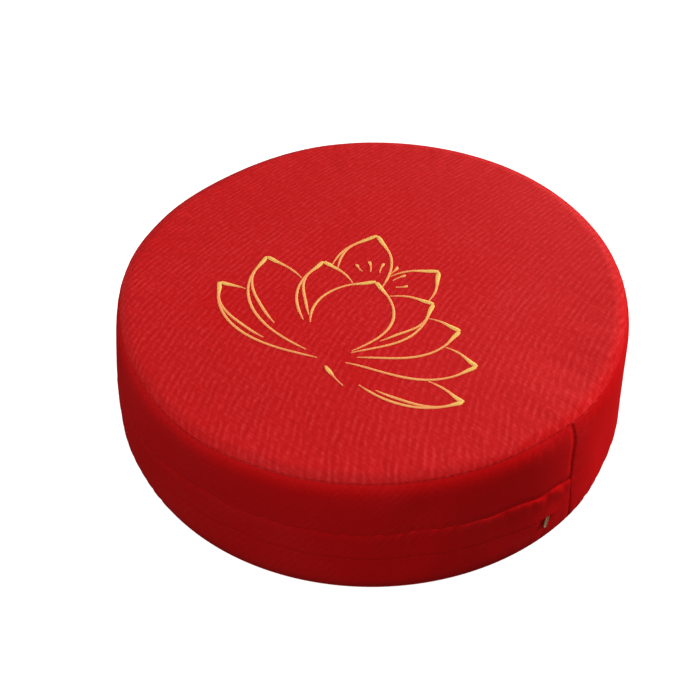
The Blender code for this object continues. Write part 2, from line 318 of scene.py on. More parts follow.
# %% [markdown]
# ## Filling the cover
#
# A tight cover still shows how it was made: the cloth is eased into its seams, so it bulges beside them.
# Cloth simulation is the honest way to get that. The whole cover is simulated once, coarsely: the two
# round seams are held, the cut is a little larger than the form, unevenly, and pressure fills it. What
# comes out is kept as a map of how far the cloth stands above the round form. The top cover and its
# stitches follow that map. The finer puckers, and those of the band, are placed by formula further on.

# %% Simulate the cover
FORM_COLUMNS = 240
FORM_INSETS = np.array([0, 2, 4.5, 7.5, 11, 15.5, 21, 28, 37, 48, 62, 80, 100, 125, 150, 180]) * MM
FORM_LEVELS = np.linspace(TOP_SEAM, BOTTOM_SEAM, 28)
TOP_ROWS = len(FORM_INSETS) - 1
SEAM_ROWS = (TOP_ROWS, TOP_ROWS + len(FORM_LEVELS) - 1)
EASE = 0.014  # how much longer the cut is than the form
EASE_SPREAD = 0.005
EASE_WAVES = (6, 48, 11)  # for round_noise: fewest, most, seed
STEPS = 20
CLOTH_SETTINGS = {
    "quality": 6, "mass": 0.02, "tension_stiffness": 25, "compression_stiffness": 12,
    "shear_stiffness": 8, "bending_stiffness": 0.2, "air_damping": 2,
    "use_pressure": True, "uniform_pressure_force": 4.0,
}


def positions(mesh):
    """The places of a mesh's points, one in a row."""
    places = np.empty(len(mesh.vertices) * 3, np.float32)
    mesh.vertices.foreach_get("co", places)
    return places.reshape(-1, 3)


def cover_form():
    """The cover's rows, from the top's middle to the bottom's, as columns of radii and of heights."""
    top_radii = SEAM_RADIUS - FORM_INSETS[:0:-1]
    shares = np.clip((top_radii - FLAT_RADIUS) / FACE_ROLL, 0, 1)
    under = BOTTOM_SEAM * (1 - np.sqrt(1 - shares**2))
    under_radii = top_radii + shares * band_out(BOTTOM_SEAM)
    radii = np.concatenate([top_radii, SEAM_RADIUS + band_out(FORM_LEVELS), under_radii[::-1]])
    heights = np.concatenate([top_section(top_radii), FORM_LEVELS, under[::-1]])
    return radii[:, None], heights[:, None]


def pressed_out(form, held_points, cut):
    """Where the form's points come to rest when pressure fills its cut, with some points held."""
    form.shape_key_add(name="form")
    cut_key = form.shape_key_add(name="cut")
    cut_key.data.foreach_set("co", cut.astype(np.float32).ravel())
    held = form.vertex_groups.new(name="held seams")
    held.add(np.flatnonzero(held_points).tolist(), 1.0, "REPLACE")
    cloth = form.modifiers.new("cloth", "CLOTH")
    cloth.collision_settings.use_collision = False
    for setting, value in CLOTH_SETTINGS.items():
        setattr(cloth.settings, setting, value)
    cloth.settings.vertex_group_mass = held.name
    cloth.settings.rest_shape_key = cut_key
    cloth.settings.effector_weights.gravity = 0
    for step in range(1, STEPS + 1):
        bpy.context.scene.frame_set(step)
    filled = form.evaluated_get(bpy.context.evaluated_depsgraph_get())
    after = positions(filled.data)
    bpy.data.objects.remove(form)
    bpy.context.scene.frame_set(1)
    return after


def simulated_unevenness():
    """How far the filled cover's cloth stands up from its own mean round form, row by column.

    The cut is larger than the form by the ease, which wanders round the cushion, but not at the seams.
    """
    radii, heights = cover_form()
    start = settled(radii, heights, np.linspace(0, 360, FORM_COLUMNS + 1)[None])
    points = np.concatenate([start[:1] * [0, 0, 1], start, start[-1:] * [0, 0, 1]])
    form = grid_mesh("cover form", points, points[..., :2], None, True, True, True)
    before = positions(form.data)
    angle = np.degrees(np.arctan2(before[:, 0], -before[:, 1]))
    ease = EASE + EASE_SPREAD * round_noise(angle, *EASE_WAVES)
    # The mesh's points are a pole, then the rows in turn, then the other pole.
    at_seam = np.isin((np.arange(len(before)) - 1) // FORM_COLUMNS, SEAM_ROWS)
    ease[at_seam] = 0
    centre = np.array([0, 0, BAND_MIDDLE])
    after = pressed_out(form, at_seam, centre + (before - centre) * (1 + ease[:, None]))
    upwards = (after - before)[1:-1, 2].reshape(len(radii), FORM_COLUMNS).astype(float)
    return upwards - upwards.mean(1, keepdims=True)


UPWARDS = simulated_unevenness()
print(f"cloth simulation: {UPWARDS.shape[0]} rows by {UPWARDS.shape[1]} columns")
print(f"largest puckers: {np.abs(UPWARDS).max() / MM:.2f} mm up")

# %% [markdown]
# ## Taking a place's share of the simulation
#
# The map is coarse, and the top cover is fine, so it asks for the map's value at its own points. Round
# the cushion the map is a sum of waves, which can be read as finely as needed once the waves too short
# for its columns are left out. From ring to ring a cubic through four rows is smooth enough. The firm
# foam holds the middle of the face flat, so there the map fades out.

# %% Read the map at any place
FINER = 6
FINEST_WAVE = 66  # puckers shorter than this many round the cushion are finer than the form's columns show
LARGEST_MOVE = 0.0022
FOAM_IRONS_OUT = 0.6  # the share of the puckers that the firm foam presses flat
FOAM_HOLDS = 0.85  # and the share of the rest near the middle of a face
FOAM_HOLDS_FROM = 0.030  # how far in from the seam the faces begin to be held flat
FOAM_HOLDS_AT = 0.110


def fine_rows(field):
    """Each row's waves, the shortest left out, written out on FINER times as many columns."""
    waves = np.fft.rfft(field, axis=1)
    waves[:, FINEST_WAVE:] = 0
    return np.fft.irfft(waves, n=FINER * field.shape[1], axis=1) * FINER


TOP_MAP = np.concatenate([fine_rows(UPWARDS)[:TOP_ROWS], np.zeros((1, FINER * FORM_COLUMNS))])
TOP_MAP = (1 - FOAM_IRONS_OUT) * np.clip(TOP_MAP, -LARGEST_MOVE, LARGEST_MOVE)
TOP_MAP_RADII = SEAM_RADIUS - FORM_INSETS[::-1]


def face_unevenness(radius, azimuth):
    """How far the top's cloth stands up from its mean form, fading where the foam holds it flat.

    The map is read by a Catmull-Rom cubic from row to row, and by a straight line from column to column.
    """
    radius, azimuth = np.broadcast_arrays(radius, azimuth)
    rows, columns = TOP_MAP.shape
    column = azimuth % 360 / 360 * columns
    left = np.floor(column).astype(int)
    row = np.interp(radius, TOP_MAP_RADII, np.arange(rows))
    base = np.clip(np.floor(row).astype(int), 0, rows - 2)
    t = row - base
    weights = (
        (-t + 2 * t**2 - t**3) / 2,
        (2 - 5 * t**2 + 3 * t**3) / 2,
        (t + 4 * t**2 - 3 * t**3) / 2,
        (-(t**2) + t**3) / 2,
    )
    total = np.zeros(radius.shape)
    for offset, weight in zip((-1, 0, 1, 2), weights):
        at = np.clip(base + offset, 0, rows - 1)
        here, there = TOP_MAP[at, left % columns], TOP_MAP[at, (left + 1) % columns]
        total += weight * (here + (column - left) * (there - here))
    held_flat = eased(SEAM_RADIUS - radius, FOAM_HOLDS_FROM, FOAM_HOLDS_AT)
    return total * (1 - FOAM_HOLDS * held_flat)


# %% [markdown]
# ## Puckers beside a seam
#
# Thread pulls at every stitch, and the cloth between stitches swells. Beside the seams that makes small
# fans of puckers, 8 to 20 mm apart, which are deepest a few millimetres from the thread. They are finer
# than the simulation's mesh, so they are placed by a formula: seeded noise along the seam, times
# (d / reach) * e^(1 - d / reach) for the distance d from it, with troughs sharper than ridges.

# %% Pucker functions
TROUGHS = 0.3  # how much sharper the troughs are
PUCKER_DRIFT = 0.02  # puckers change over about this distance from their seam


def fan(distance, reach):
    """0 at the seam, 1 at its reach, and fading beyond."""
    share = np.maximum(distance, 0) / reach
    return share * np.exp(1 - share)


def puckers(angle, drift, fewest, most, seed):
    """Noise along a seam that changes slowly with drift, the distance from the seam in radians.

    Two noises are mixed by the drift's cosine and sine, and n - TROUGHS (n^2 - 1) sharpens the troughs.
    """
    one = round_noise(angle, fewest, most, seed)
    other = round_noise(angle, fewest, most, seed + 1)
    noise = one * np.cos(drift) + other * np.sin(drift)
    return noise - TROUGHS * (noise**2 - 1)


# %% [markdown]
# ## Where the band's cloth lies
#
# Every piece of the side band shares one surface: the section curve, the puckers of both round seams, and
# the upright seam, which pulls the cloth on both sides of it. The upright seam isn't straight either: its
# top end leans left, and the plain side's edge bows away from it below that.

# %% The puckers on the band
TOP_PUCKER, TOP_REACH, TOP_WAVES = 0.00007, 0.0050, (70, 150, 21)
BOTTOM_PUCKER, BOTTOM_REACH, BOTTOM_WAVES = 0.00011, 0.0060, (60, 130, 31)
UPRIGHT_PUCKER, UPRIGHT_REACH, UPRIGHT_WAVES = 0.00010, 0.0070, (18, 46, 41)
HEIGHT_ANGLE = 360 / 0.5  # turns a height into an angle for round_noise, as if 0.5 m were a full round
# Broad, shallow unevenness of the filling behind the band, its drift, and how far from a seam it is full.
BAND_WAVE, BAND_WAVES, BAND_DRIFT, BAND_CLEAR = 0.00030, (5, 22, 51), 0.05, 0.03


def upright_distance(azimuth):
    """The distance along the band, in metres, to the nearer upright seam."""
    to_end = np.abs((azimuth - ZIP_SIDE_END + 180) % 360 - 180)
    to_start = np.abs((azimuth - ZIP_SIDE_START + 180) % 360 - 180)
    return np.radians(np.minimum(to_end, to_start)) * SEAM_RADIUS


def band_unevenness(azimuth, height):
    """The puckers of the seams round the band and the filling's broad waves, in metres outwards."""
    below, above, side = TOP_SEAM - height, height - BOTTOM_SEAM, upright_distance(azimuth)
    top = puckers(azimuth, below / PUCKER_DRIFT, *TOP_WAVES)
    bottom = puckers(azimuth, above / PUCKER_DRIFT, *BOTTOM_WAVES)
    upright = puckers(height * HEIGHT_ANGLE, side / PUCKER_DRIFT, *UPRIGHT_WAVES)
    total = TOP_PUCKER * fan(below, TOP_REACH) * top
    total = total + BOTTOM_PUCKER * fan(above, BOTTOM_REACH) * bottom
    total = total + UPRIGHT_PUCKER * fan(side, UPRIGHT_REACH) * upright
    middle = eased(below, 0, BAND_CLEAR) * eased(above, 0, BAND_CLEAR)
    return total + BAND_WAVE * middle * puckers(azimuth, height / BAND_DRIFT, *BAND_WAVES)


# %% The upright seam
UPRIGHT_LEAN = (  # height, degrees that the upright seam lies right of straight
    (0.000, 1.2), (0.012, 1.1), (0.028, 0.5), (0.042, 0.0),
    (0.060, -0.25), (0.080, -0.25), (0.098, -0.33), (0.112, -0.60),
)
SHIFT_REACH = 4.0  # degrees over which the cloth beside the seam follows it
GAPE = 0.22  # degrees that the plain side's edge bows away from the seam
GAPE_HEIGHT = 0.093
GAPE_REACH = 0.016
WOBBLE, WOBBLE_WAVES = 0.08, (6, 30, 61)  # degrees, and for round_noise
UPRIGHT_DIP = 0.0011
UPRIGHT_DIP_REACH = 0.0035
UPRIGHT_DIP_BELOW = 0.35  # the share of the dip that is left in the lower half
UPRIGHT_DIP_FROM, UPRIGHT_DIP_TO = 0.055, 0.080


def smooth_table(table, place):
    """The table's second column at each place, on a curve without kinks through its rows.

    Between two rows it is the cubic Hermite whose slope at a row is the slope between its neighbours.
    """
    at, value = np.array(table).T
    slope = np.gradient(value, at)
    before = np.clip(np.searchsorted(at, place, side="right") - 1, 0, len(at) - 2)
    width = at[before + 1] - at[before]
    t = np.clip((place - at[before]) / width, 0, 1)
    rise = (3 - 2 * t) * t * t
    start_bend = t * (1 - t) ** 2 * width * slope[before]
    end_bend = t * t * (t - 1) * width * slope[before + 1]
    return value[before] + rise * (value[before + 1] - value[before]) + start_bend + end_bend


def shifted(azimuth, height, plain_side):
    """Azimuths carried along with the upright seam that shows, fading over a few degrees from it."""
    near = bell(azimuth, ZIP_SIDE_END, SHIFT_REACH)
    lean = smooth_table(UPRIGHT_LEAN, np.asarray(height, float))
    gape = np.where(plain_side, GAPE, 0) * bell(height, GAPE_HEIGHT, GAPE_REACH)
    wobble = WOBBLE * round_noise(height * HEIGHT_ANGLE, *WOBBLE_WAVES)
    return azimuth + near * (lean + gape + wobble)


def on_band(azimuth, height, proud, plain_side=False):
    """Points of the band's cloth, proud of the band's own form by so much.

    The zip side dips beside the upright seam by UPRIGHT_DIP * e^-(d / reach)^2, mostly in its upper half.
    """
    side = np.radians(azimuth - ZIP_SIDE_END) * SEAM_RADIUS
    upper = eased(height, UPRIGHT_DIP_FROM, UPRIGHT_DIP_TO)
    upper = UPRIGHT_DIP_BELOW + (1 - UPRIGHT_DIP_BELOW) * upper
    dip = np.where(plain_side, 0, UPRIGHT_DIP) * upper * bell(side, 0, UPRIGHT_DIP_REACH)
    form = band_out(height) - thread_pull(TOP_SEAM - height, azimuth)
    radius = SEAM_RADIUS + form + band_unevenness(azimuth, height) + proud - dip
    return settled(radius, height, shifted(azimuth, height, plain_side))


def on_cloth(azimuth, height):
    """The cloth's own metres on the band: along it, and up it."""
    azimuth, height = np.broadcast_arrays(azimuth, height)
    return np.stack([np.radians(azimuth) * SEAM_RADIUS, height], -1)


# %% [markdown]
# ## Edges at the seams
#
# No cut edge shows on a sewn cover: each one turns in at its seam. So a piece doesn't end at its seam's
# line. It rolls over in a small quarter circle there and goes on inwards for a little way.

# %% Folded edges
LIP_STEPS = 5
# Where the columns lie on an upright edge's fold, as shares of its radius.
FOLD_SHARES = np.array([0.0, 0.03, 0.1, 0.22, 0.4, 0.65, 1.0])


def edge_roll(distance, radius):
    """How far a folded edge draws in at a distance from the fold: a quarter of a circle."""
    rest = np.clip(radius - distance, 0, radius)
    return radius - np.sqrt(radius**2 - rest**2)


def lip_rows(fold=LIP):
    """Rows for a cut edge that turns in: (distance from the seam, how far in), from inside out.

    The turned edge lies level, and then a quarter of a circle, of radius fold, brings it to the outside.
    Both are arrays of rows by columns, with one column if fold is one number.
    """
    turn = np.linspace(0, np.pi / 2, LIP_STEPS + 1)[:, None]
    fold = np.atleast_2d(fold)
    away = np.concatenate([0 * fold, fold * (1 - np.cos(turn))])
    inwards = np.concatenate([fold + TURNED_IN, fold * (1 - np.sin(turn))])
    return away, inwards


def top_fold(azimuth):
    """The radius of the folds at the top seam, which are tighter on the soft side."""
    return SEAM_FOLD * (1 - SOFT_FOLD * read_off(SOFT_SIDE, azimuth, 1))


def between_folds(start, stop, radius, count):
    """Azimuths from start to stop with count steps, crowding towards both ends, where a fold turns in."""
    fold = np.degrees(radius * FOLD_SHARES / SEAM_RADIUS)
    middle = np.linspace(start + fold[-1], stop - fold[-1], count + 1)[1:-1]
    return np.concatenate([start + fold, middle, stop - fold[::-1]])


# %% [markdown]
# ## The cloth: a red slub weave
#
# Slub linen has yarns that swell and thin along their length. From arm's length one sees short ribs,
# about 5 mm apart, that lean across the cushion, a fainter set that crosses them, and flecks where yarns
# swell. It is matt. Its colour is painted paler on the ribs' crests, as a painted sheen, and darker in the
# hollows, as painted shade. An image could carry all this, but nodes have no edge and no fixed size. They
# read the cloth's own UV map, so the pattern runs on over every roll and fold.
#
# The ribs are waves of a phase, which a noise bends and breaks. The phase is measured in ribs per metre
# along and across the cloth, and a small term that grows with the square of the distance gives the slight
# curve of cloth that was pulled on by hand. The single yarns, about 0.7 mm apart, are too fine to show, so
# they are drawn at 1.3 mm.

# %% Small helpers for materials


def to_linear(hex_colour):
    """An sRGB hex colour as linear RGBA: ((c + 0.055) / 1.055)^2.4, or c / 12.92 for the darkest."""
    parts = [int(hex_colour[i : i + 2], 16) / 255 for i in (1, 3, 5)]
    return [c / 12.92 if c <= 0.04045 else ((c + 0.055) / 1.055) ** 2.4 for c in parts] + [1.0]


def set_inputs(node, inputs):
    """Links each input that is given a socket and sets each that is given a value, by order or by name."""
    for socket, value in inputs.items() if isinstance(inputs, dict) else enumerate(inputs):
        if isinstance(value, bpy.types.NodeSocket):
            node.id_data.links.new(value, node.inputs[socket])
        else:
            node.inputs[socket].default_value = value


def add_node(tree, kind, inputs=(), out=0, **settings):
    """Adds a node with its settings and its inputs, and gives one of its outputs."""
    node = tree.nodes.new("ShaderNode" + kind)
    for name, value in settings.items():
        setattr(node, name, value)
    set_inputs(node, inputs)
    return node.outputs[out]


def set_stops(colour, stops):
    """Gives a colour ramp its stops: (position, sRGB hex), the first and the last one first."""
    ramp = colour.node.color_ramp
    for index, (position, hex_colour) in enumerate(stops):
        stop = ramp.elements[index] if index < 2 else ramp.elements.new(position)
        stop.position = position
        stop.color = to_linear(hex_colour)


def new_material(name):
    """An empty material, the function that adds nodes to it, and its Principled shader."""
    material = bpy.data.materials.new(name)
    material.use_nodes = True
    tree = material.node_tree
    return material, functools.partial(add_node, tree), tree.nodes["Principled BSDF"]


# %% Red slub cloth
RIBS = (-168, 110, 260)  # ribs per metre along and across, and their bend per square metre
CROSS_RIBS = (175, 207, 0)
YARNS_PER_RIB = 3.9
CROSS_YARNS_PER_RIB = 2.8
SLUB_SHAPE = (1.0, 0.36, 1)  # a slub is longer along its yarn
CROSS_SLUB_SHAPE = (0.36, 1.1, 1)
# Painted shade in the hollows (0), a painted sheen on the ribs' crests (1), and the cloth's own red (0.5).
COVER_STOPS_WITH_RIB_SHEEN_AND_SHADE = ((0.0, "#BA0000"), (1.0, "#DC2E31"), (0.5, "#CB0C0F"))  # in shade, on a rib, and the cloth


def red_slub_cloth(name, contrast, glow, shine):
    """Woven slub cotton and linen: matt, with ribs, crossing ribs and flecks in both bump and tone; the tone
    is painted sheen on crests and painted shade in hollows.
    """
    material, add, shader = new_material(name)
    place = add("UVMap", uv_map="cloth")
    along, up = add("SeparateXYZ", [place]), add("SeparateXYZ", [place], out=1)
    measure = add("CombineXYZ", [along, up, add("Math", [up, up], operation="MULTIPLY")])
    rib, cross = (
        add("VectorMath", [measure, numbers], out="Value", operation="DOT_PRODUCT")
        for numbers in (RIBS, CROSS_RIBS)
    )
    woven = add("CombineXYZ", [rib, cross])
    slubs, cross_slubs = (
        add("Mapping", {"Vector": woven, "Scale": shape}) for shape in (SLUB_SHAPE, CROSS_SLUB_SHAPE)
    )
    bent, cross_bent, patches, flecks, cross_flecks, blotches = (
        add("Math", [add("TexNoise", {"Vector": pattern, "Scale": scale, "Detail": detail}), gain, base],
            operation="MULTIPLY_ADD")
        for pattern, scale, detail, gain, base in (
            (slubs, 0.45, 1, 1.0, rib),
            (cross_slubs, 0.5, 1, 1.0, cross),
            (woven, 0.40, 2, 3.0, -0.9),
            (slubs, 2.1, 2, 3.2, -1.6),
            (cross_slubs, 1.6, 2, 2.4, -1.2),
            (place, 14.0, 2, 0.30, -0.15),
        )
    )
    ridge, cross_ridge, yarn, cross_yarn = (
        add("Math", [add("Math", [phase, 2 * math.pi * waves], operation="MULTIPLY")], operation="SINE")
        for phase, waves in (
            (bent, 1), (cross_bent, 1), (rib, YARNS_PER_RIB), (cross, CROSS_YARNS_PER_RIB)
        )
    )
    broken_ridge = add("Math", [ridge, patches], operation="MULTIPLY")
    yarns = add("Math", [yarn, cross_yarn], operation="MULTIPLY")
    relief = 0.0
    for part, weight in (
        (broken_ridge, 0.50), (cross_ridge, 0.12), (flecks, 0.70), (cross_flecks, 0.35), (yarns, 0.24)
    ):
        relief = add("Math", [part, weight, relief], operation="MULTIPLY_ADD")
    # The colour follows the relief: painted sheen where it is high, painted shade where it is low.
    tone = add("Math", [relief, contrast, 0.5], operation="MULTIPLY_ADD")
    colour = add("ValToRGB", [add("Math", [tone, blotches], operation="ADD")])
    set_stops(colour, COVER_STOPS_WITH_RIB_SHEEN_AND_SHADE)
    set_inputs(shader, {
        "Base Color": colour,
        "Normal": add("Bump", {"Height": relief, "Strength": contrast, "Distance": 0.00010}),
        "Roughness": 0.65,
        "Specular IOR Level": shine,
        "Sheen Weight": glow,
        "Sheen Roughness": 0.55,
        "Sheen Tint": to_linear("#FF9A94"),
    })
    return material


COVER = red_slub_cloth("red slub cotton linen", 0.42, 0.02, 0.33)
# A shaded copy of the cloth for the band: less painted rib sheen and shade, less sheen and less gloss,
# because the band lies mostly in shade.
SHADED_BAND_COVER = red_slub_cloth("red slub cotton linen, shaded band copy", 0.08, 0.004, 0.10)
print("materials:", COVER.name, "and", SHADED_BAND_COVER.name, "with", len(COVER.node_tree.nodes), "nodes each")

# %% [markdown]
# ## The round top
#
# A disc of cloth, pulled tight. Its rings lie closer together towards the seam, where it bends most: flat
# rings, then the roll, and then the lip where its edge turns in to the seam. The grid is its outer face,
# and Solidify gives it the thickness of one layer of cloth.

# %% What the cover's pieces share


def one_layer(thing, node, thickness=CLOTH):
    """Gives a piece its thickness, inwards, attaches it to the root, and hides the node that it stands for.
    """
    layer = thing.modifiers.new("cloth thickness", "SOLIDIFY")
    layer.thickness = thickness
    layer.offset = -1
    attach(thing, "root")
    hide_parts(node)
    return thing


def arc_along(radius, height):
    """The distance along a section from its first point."""
    steps = np.hypot(np.diff(radius), np.diff(height))
    return np.concatenate([[0.0], np.cumsum(steps)])


def round_cover(name, node, points, reach, azimuth, *closing):
    """A face of the cover: a disc cut as wide as its section is long, reach being that from its middle.

    Its cloth's own metres are polar: the reach, at the azimuth.
    """
    angle, reach = np.radians(azimuth), reach[:, None]
    cloth = np.stack([reach * np.sin(angle), -reach * np.cos(angle)], -1)
    cover = one_layer(grid_mesh(name, points, cloth, COVER, True, *closing), node)


# %% Top cover
ROUND_COLUMNS = 720
FACE_RINGS = 24
ROLL_ROWS = 12
CROWDING = 1.7
FACE_PUCKER, FACE_REACH, FACE_WAVES = 0.00005, 0.0060, (60, 150, 71)


def top_height(radius, azimuth):
    """The height of the finished top cloth, with its puckers, at any place inside the seam."""
    beside_seam = fan(SEAM_RADIUS - radius, FACE_REACH)
    fine = FACE_PUCKER * beside_seam * puckers(azimuth, radius / PUCKER_DRIFT, *FACE_WAVES)
    return top_section(radius, top_fold(azimuth)) + face_unevenness(radius, azimuth) + fine


def top_cover():
    azimuth = np.linspace(0, 360, ROUND_COLUMNS + 1)[None]
    turn = np.linspace(0, np.pi / 2, ROLL_ROWS + 1)[1:]
    flat = FLAT_RADIUS * crowded(FACE_RINGS, CROWDING)
    rolled = np.concatenate([flat, FLAT_RADIUS + FACE_ROLL * np.sin(turn)])
    away, inwards = (rows[-2::-1] for rows in lip_rows(top_fold(azimuth)))
    rolled = rolled[:, None] + 0 * azimuth
    surface = top_height(rolled, azimuth)
    surface[0] = surface[0].mean()
    radius = np.concatenate([rolled, SEAM_RADIUS - inwards])
    height = np.concatenate([surface, TOP_SEAM + SEAM_GAP / 2 + away])
    points = settled(radius - thread_pull(SEAM_RADIUS - radius, azimuth), height, azimuth)
    round_cover("top_cover", "top_panel", points, arc_along(radius[:, 0], height[:, 0]), azimuth, True)


top_cover()

# %% [markdown]
# ## The embroidered lotus: its pattern
#
# The flower is drawn by formula, as a digitiser would plan it for the machine. Each petal is a bent centre
# line with a width that swells and then narrows to a point. Petals in front hide those behind. A line may
# start part of the way up its side, and some petals have a second line inside one edge.

# %% The flower's pattern
FLOWER_BASE = (-0.0330, -0.0790)
FLOWER_LEAN = 26.0  # degrees from +Y towards +X
PETALS = (
    # direction from the axis, length and half-width in mm, bend, where it is fullest, how blunt its tip is,
    # where its left and its right line start, which side has a second line, and its layer from the front
    (-3, 94, 31, 10, 0.56, 0.86, 0.36, 0.16, 0, 0),
    (27, 102, 25, 36, 0.60, 0.90, 0.40, 0.06, 1, 1),
    (-28, 112, 23, -6, 0.62, 0.92, 0.40, 0.30, -1, 2),
    (47, 104, 21, 22, 0.64, 0.92, 0.34, 0.20, 0, 3),
    (-48, 130, 24, 26, 0.60, 0.95, 0.14, 0.34, -1, 4),
    (68, 110, 19, 14, 0.64, 0.95, 0.30, 0.12, 0, 5),
    (88, 108, 15, -22, 0.60, 1.00, 0.16, 0.30, 1, 5.5),
    (-69, 124, 19, 22, 0.60, 0.98, 0.06, 0.30, -1, 6),
    (-11, 148, 23, 8, 0.70, 0.92, 0.30, 0.30, -1, 7.5),
    (15, 131, 21, 22, 0.70, 0.92, 0.30, 0.30, 0, 8),
)
STAMENS = (  # mm along the axis and to its right, direction from the axis, length in mm, bend
    (101, -20, -52, 10, 34), (103, -14, -30, 13, -24), (105, -7, -8, 12, 26),
    (104, 0, 12, 14, -22), (101, 6, 34, 12, 24), (95, 11, 58, 10, -26),
)
STEM = (-5, 1, 122, 25, -14)
# Where a stamen or the stem is widest, and its least and greatest width in mm.
STAMEN_SHAPE, STEM_SHAPE = (0.85, 1.2, 2.6), (0.25, 1.1, 3.4)
STITCH_STEP = 0.35 * MM  # two steps are one thread, drawn twice as coarse as real thread
SHORTEST_LINE = 0.0120
LINE_GAP = 0.0013  # a line behind stops this far from a petal in front
TIP = 0.975  # the way up a petal where its line is widest
FLICK, FLICK_REACH = 0.22, 0.06  # how much narrower a petal is at its tip
# A second line starts SECOND_FROM of the way up, at SECOND_NEAR of the half-width. From SECOND_TURNS on
# it turns towards the edge, which it meets at TIP.
SECOND_FROM, SECOND_NEAR, SECOND_TURNS = 0.42, 0.70, 0.55
ARC_STEPS, PETAL_STEPS, PETAL_CROWDING, DASH_STEPS = 200, 400, 1.5, 60


def petal_line(direction, length, bend, way):
    """Points and their right-hand directions on an arc whose heading turns by bend over its length."""
    fine = np.linspace(0, 1, ARC_STEPS + 1)
    heading = np.radians(direction + bend * (fine - 0.5))
    step = np.stack([np.sin(heading), np.cos(heading)], -1)
    run = np.concatenate([[[0, 0]], np.cumsum((step[1:] + step[:-1]) / 2, 0)]) * length / ARC_STEPS
    at = np.stack([np.interp(way, fine, run[:, 0]), np.interp(way, fine, run[:, 1])], -1)
    heading = np.radians(direction + bend * (way - 0.5))
    return at, np.stack([np.cos(heading), -np.sin(heading)], -1)


def petal_half_width(way, widest, fullest, blunt):
    """widest * t^a * (1 - t)^blunt over its peak, which lies at t = fullest, with a flick near the tip."""
    rise = blunt * fullest / (1 - fullest)
    peak = fullest**rise * (1 - fullest) ** blunt
    flick = 1 - FLICK * bell(way, TIP, FLICK_REACH)
    return widest * way**rise * (1 - way) ** blunt / peak * flick


def petal(row):
    """A petal's outline, its stitched lines, each as points with their way up the petal, and its layer."""
    direction, length, widest, bend, fullest, blunt, left, right, second, layer = row
    way = crowded(PETAL_STEPS, PETAL_CROWDING)
    middle, across = petal_line(FLOWER_LEAN + direction, length * MM, bend, way)
    middle = middle + FLOWER_BASE
    half = petal_half_width(way, widest * MM, fullest, blunt)[:, None]
    sides = middle - across * half, middle + across * half
    lines = [(side[way >= start], way[way >= start]) for side, start in zip(sides, (left, right))]
    if second:
        part = (way > SECOND_FROM) & (way < TIP)
        nearness = SECOND_NEAR + (1 - SECOND_NEAR) * eased(way[part], SECOND_TURNS, TIP)
        inner = middle[part] + second * across[part] * half[part] * nearness[:, None]
        lines.append((inner, way[part]))
    return np.concatenate([sides[0], sides[1][::-1]]), lines, layer


def covers(outline, points):
    """Whether an outline holds each point or comes within LINE_GAP of it, by counting crossed edges."""
    across, up = points[:, :1], points[:, 1:]
    here, there = outline, np.roll(outline, -1, 0)
    crossed = (here[:, 1] > up) != (there[:, 1] > up)
    rise = np.where(there[:, 1] == here[:, 1], 1, there[:, 1] - here[:, 1])
    at = here[:, 0] + (up - here[:, 1]) * (there[:, 0] - here[:, 0]) / rise
    inside = (crossed & (across < at)).sum(1) % 2 == 1
    distance = np.hypot(across - outline[None, ::2, 0], up - outline[None, ::2, 1])
    return inside | (distance.min(1) < LINE_GAP)


def evenly(points, way):
    """The same line with a point at every STITCH_STEP."""
    run = arc_along(points[:, 0], points[:, 1])
    at = np.linspace(0, run[-1], int(run[-1] / STITCH_STEP) + 1)
    line = np.stack([np.interp(at, run, points[:, 0]), np.interp(at, run, points[:, 1])], -1)
    return line, np.interp(at, run, way)


# %% The flower's lines
LINE_WIDTH = 1.9  # in mm, as are the swells
TIP_SWELL, TIP_SWELL_REACH = 1.9, 0.055
BODY_SWELL, BODY_SWELL_AT, BODY_SWELL_REACH = 0.35, 0.6, 0.2
NARROWS_TO_POINT = 0.3  # the share of the swell that is lost between TIP and the point
END_WIDTH = 0.5  # a line's ends taper to this share of its width
TAPERS_BELOW = 0.88  # but not above here, where two lines meet at the petal's point
DASH_SWELL_REACH = 0.22


def petal_lines():
    """Every stretch of petal line that no petal in front hides: its points and widths.

    The width is LINE_WIDTH, with a slight swell half way up the petal and a strong one at TIP.
    """
    petals = [petal(row) for row in PETALS]
    found = []
    for _, lines, layer in petals:
        in_front = [outline for outline, _, other in petals if other < layer]
        for points, way in (evenly(*line) for line in lines):
            shown = np.ones(len(points), bool)
            for outline in in_front:
                shown &= ~covers(outline, points)
            turns = np.flatnonzero(np.diff(np.concatenate([[0], shown, [0]]).astype(int)))
            for first, last in zip(turns[::2], turns[1::2]):
                if (last - first) * STITCH_STEP < SHORTEST_LINE:
                    continue
                t = way[first:last]
                run = np.arange(last - first) * STITCH_STEP
                to_end = np.minimum(run, run[-1] - run)
                swell = TIP_SWELL * bell(t, TIP, TIP_SWELL_REACH)
                swell = swell + BODY_SWELL * bell(t, BODY_SWELL_AT, BODY_SWELL_REACH)
                body = LINE_WIDTH + swell * (1 - NARROWS_TO_POINT * eased(t, TIP, 1.0))
                taper = END_WIDTH + (1 - END_WIDTH) * eased(to_end, 0, SHORTEST_LINE)
                taper = np.where(t > TAPERS_BELOW, 1, taper)
                found.append((points[first:last], body * taper * MM))
    return found


